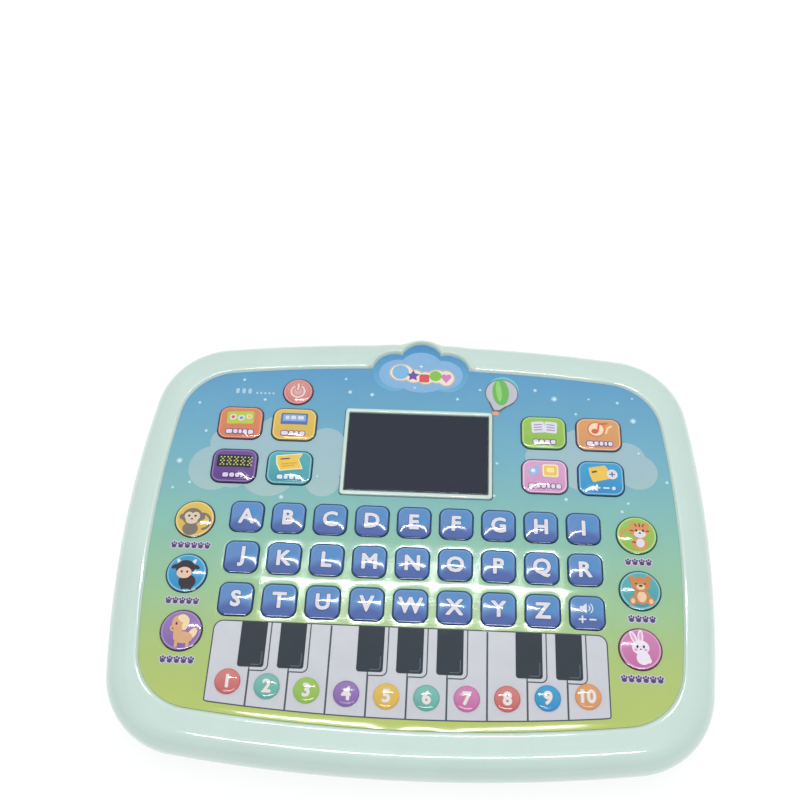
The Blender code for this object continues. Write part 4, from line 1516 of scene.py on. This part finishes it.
def card_art(art):
    card = [(-5.6, 5.0), (4.6, 6.3), (3.4, 3.6), (5.2, -0.4), (-3.6, -1.6), (-5.2, 1.4)]
    art.add(ink(250, 246, 214), [[(x * 1.09, (y - 2.2) * 1.12 + 2.2) for x, y in card]], 1)
    art.add(ink(*YELLOW_CARD), [card], 2)
    art.add(ink(*CARD_MARK), stroke([(-3.8, 3.6), (-0.4, 4.0)], 0.6), 3)
    lines = stroke([(-3.4, 1.2), (2.6, 2.0)], 0.5) + stroke([(-3.0, 0.1), (1.8, 0.8)], 0.5)
    art.add(ink(214, 168, 60), lines, 3)
    caption_bars(art, 0.2, -4.7, (2.2, 1.6, 1.8, 2.2), (210, 240, 250), (50, 110, 150))


def frame_art(art):
    art.add(ink(150, 190, 232), [disc(-4.6, 2.2, 2.0), disc(-3.0, 4.0, 1.1)], 1)
    art.add(ink(236, 244, 252), [disc(-4.8, 2.4, 0.9)], 2)
    art.add(ink(250, 240, 196), [slab(2.4, 2.6, 6.6, 6.0, 0.9)], 1)
    art.add(ink(240, 200, 96), [slab(2.4, 2.6, 5.4, 4.8, 0.7)], 2)
    art.add(ink(252, 232, 160), [slab(2.4, 2.8, 3.2, 2.4, 0.6)], 3)
    caption_bars(art, 0.0, -4.6, (2.4, 1.4, 1.6, 1.2, 1.4, 1.8), WHITE, (150, 90, 160))


def sums_art(art):
    card = [(-5.0, 4.6), (1.8, 6.0), (3.0, 4.2), (3.4, -0.4), (-3.4, -2.2), (-4.6, 1.0)]
    art.add(ink(*YELLOW_CARD), [card], 1)
    art.add(ink(*CARD_MARK), stroke([(-3.4, 2.6), (-2.0, 2.9)], 0.9), 2)
    art.add(ink(*WHITE), [disc(4.6, 1.8, 2.3)], 2)
    art.add(ink(90, 100, 150), plus(4.6, 1.8, 1.0, 0.5), 3)
    signs = plus(-1.9, -4.6, 1.1, 0.7) + minus(1.95, -4.6, 1.05, 0.7) + [disc(5.0, -4.6, 0.8)]
    art.add(ink(*WHITE), signs, 2)


MODE_PICTURES = {
    "orange": dials_art, "yellow": windows_art, "green": book_art, "apricot": music_art,
    "purple": lit_panel_art, "teal": card_art, "pink": frame_art, "blue": sums_art,
}

DARK = (70, 56, 60)


def monkey_art(art):
    fur, face = ink(128, 118, 110), ink(226, 206, 180)
    tail = stroke(bow(3.2, -1.2, 3.4, -80, 130, 14), 1.0)
    art.add(fur, [disc(-1.2, -4.6, 3.2, 2.8), *tail], 1)
    art.add(fur, [disc(-1.0, 0.8, 4.2, 3.8), *pair(-1.0, 0.6, 4.0, 1.3)], 2)
    art.add(face, [*pair(-1.0, 0.9, 1.4, 1.8, 1.9), disc(-1.0, -0.9, 2.5, 1.7)], 3)
    art.add(ink(*DARK), [*pair(-1.0, 1.0, 1.3, 0.5), disc(-1.0, -0.4, 0.5, 0.3)], 4)


def calf_art(art):
    coat = ink(58, 50, 56)
    legs = [slab(x, -6.0, 1.2, 2.2, 0.5) for x in (-0.8, 2.4)]
    art.add(coat, [disc(0.8, -3.8, 3.4, 3.0), *legs], 1)
    art.add(ink(*WHITE), pair(-0.5, 4.6, 3.1, 0.7, 1.3, 30), 1)
    art.add(coat, [disc(-0.6, 2.0, 3.9, 3.2), *pair(-0.6, 2.4, 4.2, 1.6, 0.9, 20)], 2)
    art.add(ink(238, 200, 176), [disc(-0.8, -0.2, 3.0, 2.4)], 3)
    art.add(ink(*DARK), pair(-0.7, 0.2, 1.1, 0.4, 0.55), 4)


def horse_art(art):
    coat, mane = ink(222, 172, 128), ink(244, 220, 170)
    art.add(mane, [disc(4.6, -1.4, 1.4, 2.6, -30)], 1)
    legs = [slab(-1.2, -5.6, 1.2, 2.8, 0.5), slab(3.2, -5.4, 1.2, 2.8, 0.5)]
    art.add(coat, [disc(1.2, -3.0, 3.8, 2.3), *legs], 2)
    head = [disc(-1.2, 2.4, 2.6, 3.4, 12), disc(-2.4, 0.6, 2.0, 1.6), disc(-1.0, -1.4, 1.7, 2.6)]
    art.add(coat, head, 2)
    art.add(mane, [disc(0.4, 4.6, 2.2, 1.6, -20), disc(1.6, 2.4, 1.2, 2.8, -10)], 3)
    art.add(ink(*DARK), [disc(-2.0, 2.4, 0.4, 0.6), disc(-3.2, 0.4, 0.3)], 4)


def tiger_art(art):
    fur = ink(226, 150, 92)
    tail = stroke(bow(-3.4, -0.6, 2.8, 60, 210, 12), 1.1)
    art.add(fur, [*tail, disc(1.0, -3.8, 3.2, 2.6)], 1)
    art.add(fur, [disc(1.2, 1.8, 3.8, 3.3), *pair(1.2, 4.5, 2.8, 1.2)], 2)
    art.add(ink(*WHITE), [disc(1.2, 0.2, 2.4, 1.6), disc(1.2, -3.6, 1.7, 1.9)], 3)
    stripes = stroke([(1.2, 3.6), (1.2, 4.9)], 0.5) + stroke([(-1.8, -3.2), (-0.8, -3.4)], 0.45)
    for side in (-1, 1):
        stripes += stroke([(1.2 + 1.3 * side, 3.7), (1.2 + 1.7 * side, 4.7)], 0.45)
        stripes += stroke([(1.2 + 3.7 * side, 1.8), (1.2 + 2.7 * side, 1.6)], 0.45)
    art.add(ink(120, 70, 60), stripes, 4)
    art.add(ink(*DARK), [*pair(1.2, 1.8, 1.4, 0.45, 0.6), disc(1.2, 0.7, 0.5, 0.35)], 4)


def bear_art(art):
    fur, belly = ink(204, 138, 84), ink(240, 206, 170)
    art.add(fur, [disc(0.4, -2.8, 3.2, 3.0), *pair(0.4, -4.4, 3.4, 1.5, 1.7)], 1)
    art.add(belly, [disc(0.4, -2.8, 1.8, 2.2), *pair(0.4, -4.5, 3.5, 0.8, 1.0)], 2)
    art.add(fur, [disc(0.2, 2.4, 3.8, 3.2), *pair(0.2, 4.9, 3.2, 1.3)], 3)
    art.add(belly, [disc(0.2, 1.2, 1.7, 1.2)], 4)
    art.add(ink(*DARK), [disc(0.2, 1.7, 0.8, 0.5), *pair(0.2, 2.6, 1.7, 0.35)], 5)


def rabbit_art(art):
    fur, blush = ink(240, 232, 244), ink(236, 168, 206)
    art.add(fur, [disc(0.8, -3.6, 2.6, 2.6), disc(2.9, -4.6, 1.0)], 1)
    art.add(fur, [disc(-2.4, 4.3, 1.1, 2.9, 22), disc(0.2, 4.7, 1.1, 2.9, -4)], 1)
    art.add(blush, [disc(-2.5, 4.4, 0.5, 2.0, 22), disc(0.2, 4.8, 0.5, 2.0, -4)], 2)
    art.add(fur, [disc(0.0, 0.4, 3.3, 2.8)], 3)
    art.add(blush, pair(0.0, -0.5, 1.9, 0.7, 0.5), 4)
    art.add(ink(*DARK), [*pair(0.0, 0.7, 1.2, 0.42, 0.6), disc(0.0, -0.3, 0.35, 0.25)], 5)


ANIMALS = {
    "left": (monkey_art, calf_art, horse_art),
    "right": (tiger_art, bear_art, rabbit_art),
}


def key_art(art, node, kind):
    """Draws what is printed on a key."""
    name = node.rsplit("_", 1)[1]
    if name == "volume":
        volume_art(art)
    elif kind == "letter":
        write(art, name.upper(), 6.0, LETTER_LAYERS)
    elif kind == "power":
        power_art(art)
    elif kind == "piano":
        write(art, name, 4.6, NUMERAL_LAYERS)
    elif kind == "mode":
        MODE_PICTURES[name](art)
    else:
        ANIMALS[node.split("_")[2]][int(name) - 1](art)


def make_keys():
    for node, kind, middle, size in KEYS:
        make_cap(node, kind, middle, size, cap_tones(kind, tone_of(node, kind), size))
        art = Print(f"{node}_print", cap_height(kind, size), 1.2)
        key_art(art, node, kind)
        art.finish(node, (middle.x, middle.y, SHEET_TOP))


# ---------------------------------------------------------------- camera, lights and floor

CAMERA_PLACE = (9.4, -181.6, 422.4)
CAMERA_AIM = (-8.6, 62.9, 24.9)
CAMERA_ROLL = -1.70
CAMERA_LENS = 48.2


def make_camera():
    data = bpy.data.cameras.new("camera")
    data.lens = CAMERA_LENS
    data.clip_start = 0.01
    camera = bpy.data.objects.new("camera", data)
    place, aim = Vector(CAMERA_PLACE) * MM, Vector(CAMERA_AIM) * MM
    roll = Quaternion((0.0, 0.0, 1.0), math.radians(CAMERA_ROLL))
    camera.location = place
    camera.rotation_mode = "QUATERNION"
    camera.rotation_quaternion = (aim - place).to_track_quat("-Z", "Y") @ roll
    bpy.context.scene.collection.objects.link(camera)
    bpy.context.scene.camera = camera


def make_area(name, place, aim, size, power):
    data = bpy.data.lights.new(name, "AREA")
    data.shape = "RECTANGLE"
    data.size, data.size_y = size
    data.energy = power
    light = bpy.data.objects.new(name, data)
    light.location = place
    light.rotation_euler = (Vector(aim) - Vector(place)).to_track_quat("-Z", "Y").to_euler()
    bpy.context.scene.collection.objects.link(light)
    return light


# Each light's place, aim and size in metres, its power in watts, and the reflections it leaves out.
LIGHTS = (
    ("back_strip", (-0.02, 0.366, 1.0), (-0.02, 0.0, 0.02), (0.42, 0.011), 1.8, "diffuse"),
    ("front_strip", (-0.005, -0.20, 1.0), (-0.005, 0.0, 0.02), (0.67, 0.018), 2.4, "diffuse"),
    ("overhead", (0.1, 0.3, 1.5), (0.0, 0.0, 0.0), (1.6, 1.2), 9.9, "glossy"),
)
FLOOR_HALF = 3000


def make_stage():
    world = bpy.data.worlds.new("studio")
    bpy.context.scene.world = world
    world.use_nodes = True
    background = world.node_tree.nodes["Background"]
    background.inputs[0].default_value = (0.97, 0.98, 1.0, 1.0)
    background.inputs[1].default_value = 0.70
    for name, place, aim, size, power, left_out in LIGHTS:
        setattr(make_area(name, place, aim, size, power), f"visible_{left_out}", False)
    paper = Look("paper", 0.9, 0.1).paint(tone(120, 120, 120), 0.002, 0.01)
    paper.shader.inputs["Emission Color"].default_value = (1.0, 1.0, 1.0, 1.0)
    paper.shader.inputs["Emission Strength"].default_value = 0.84
    corners = [(x * FLOOR_HALF, y * FLOOR_HALF, 0) for x, y in ((-1, -1), (1, -1), (1, 1), (-1, 1))]
    floor = add_mesh("floor", corners, [(0, 1, 2, 3)], [paper.material])
    bpy.context.scene.view_settings.view_transform = "Standard"


def main():
    mint = moulded("mint_plastic", tone(199, 222, 212))
    glass = Look("screen_glass", 0.06).paint(tone(33, 39, 55), 0.1, 0.06).worn(0.05, 0.09).material
    make_casing(mint)
    make_window(glass)
    make_sheet(sky_print("sheet_ground"))
    make_sky()
    make_badge()
    make_balloon()
    make_piano()
    make_captions()
    make_keys()
    steel = Look("zinc_plated_steel", 0.3).paint(tone(190, 190, 192), 0.6, 0.08)
    steel.shader.inputs["Metallic"].default_value = 1.0
    make_rear_shell(mint)
    make_door(mint)
    make_posts(mint)
    make_screws(steel.material)
    make_contacts(steel.material)
    make_electronics()
    finishes = {
        "circuit_board": moulded("board_laminate", tone(40, 110, 60)),
        "speaker": moulded("speaker_cone", tone(40, 40, 44), 0.5, 0.7),
        "switch_film": printed("clear_film", tone(70, 96, 108)),
    }
    for node, material in finishes.items():
        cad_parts[node].data.materials.clear()
        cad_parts[node].data.materials.append(material)
    make_camera()
    make_stage()


main()
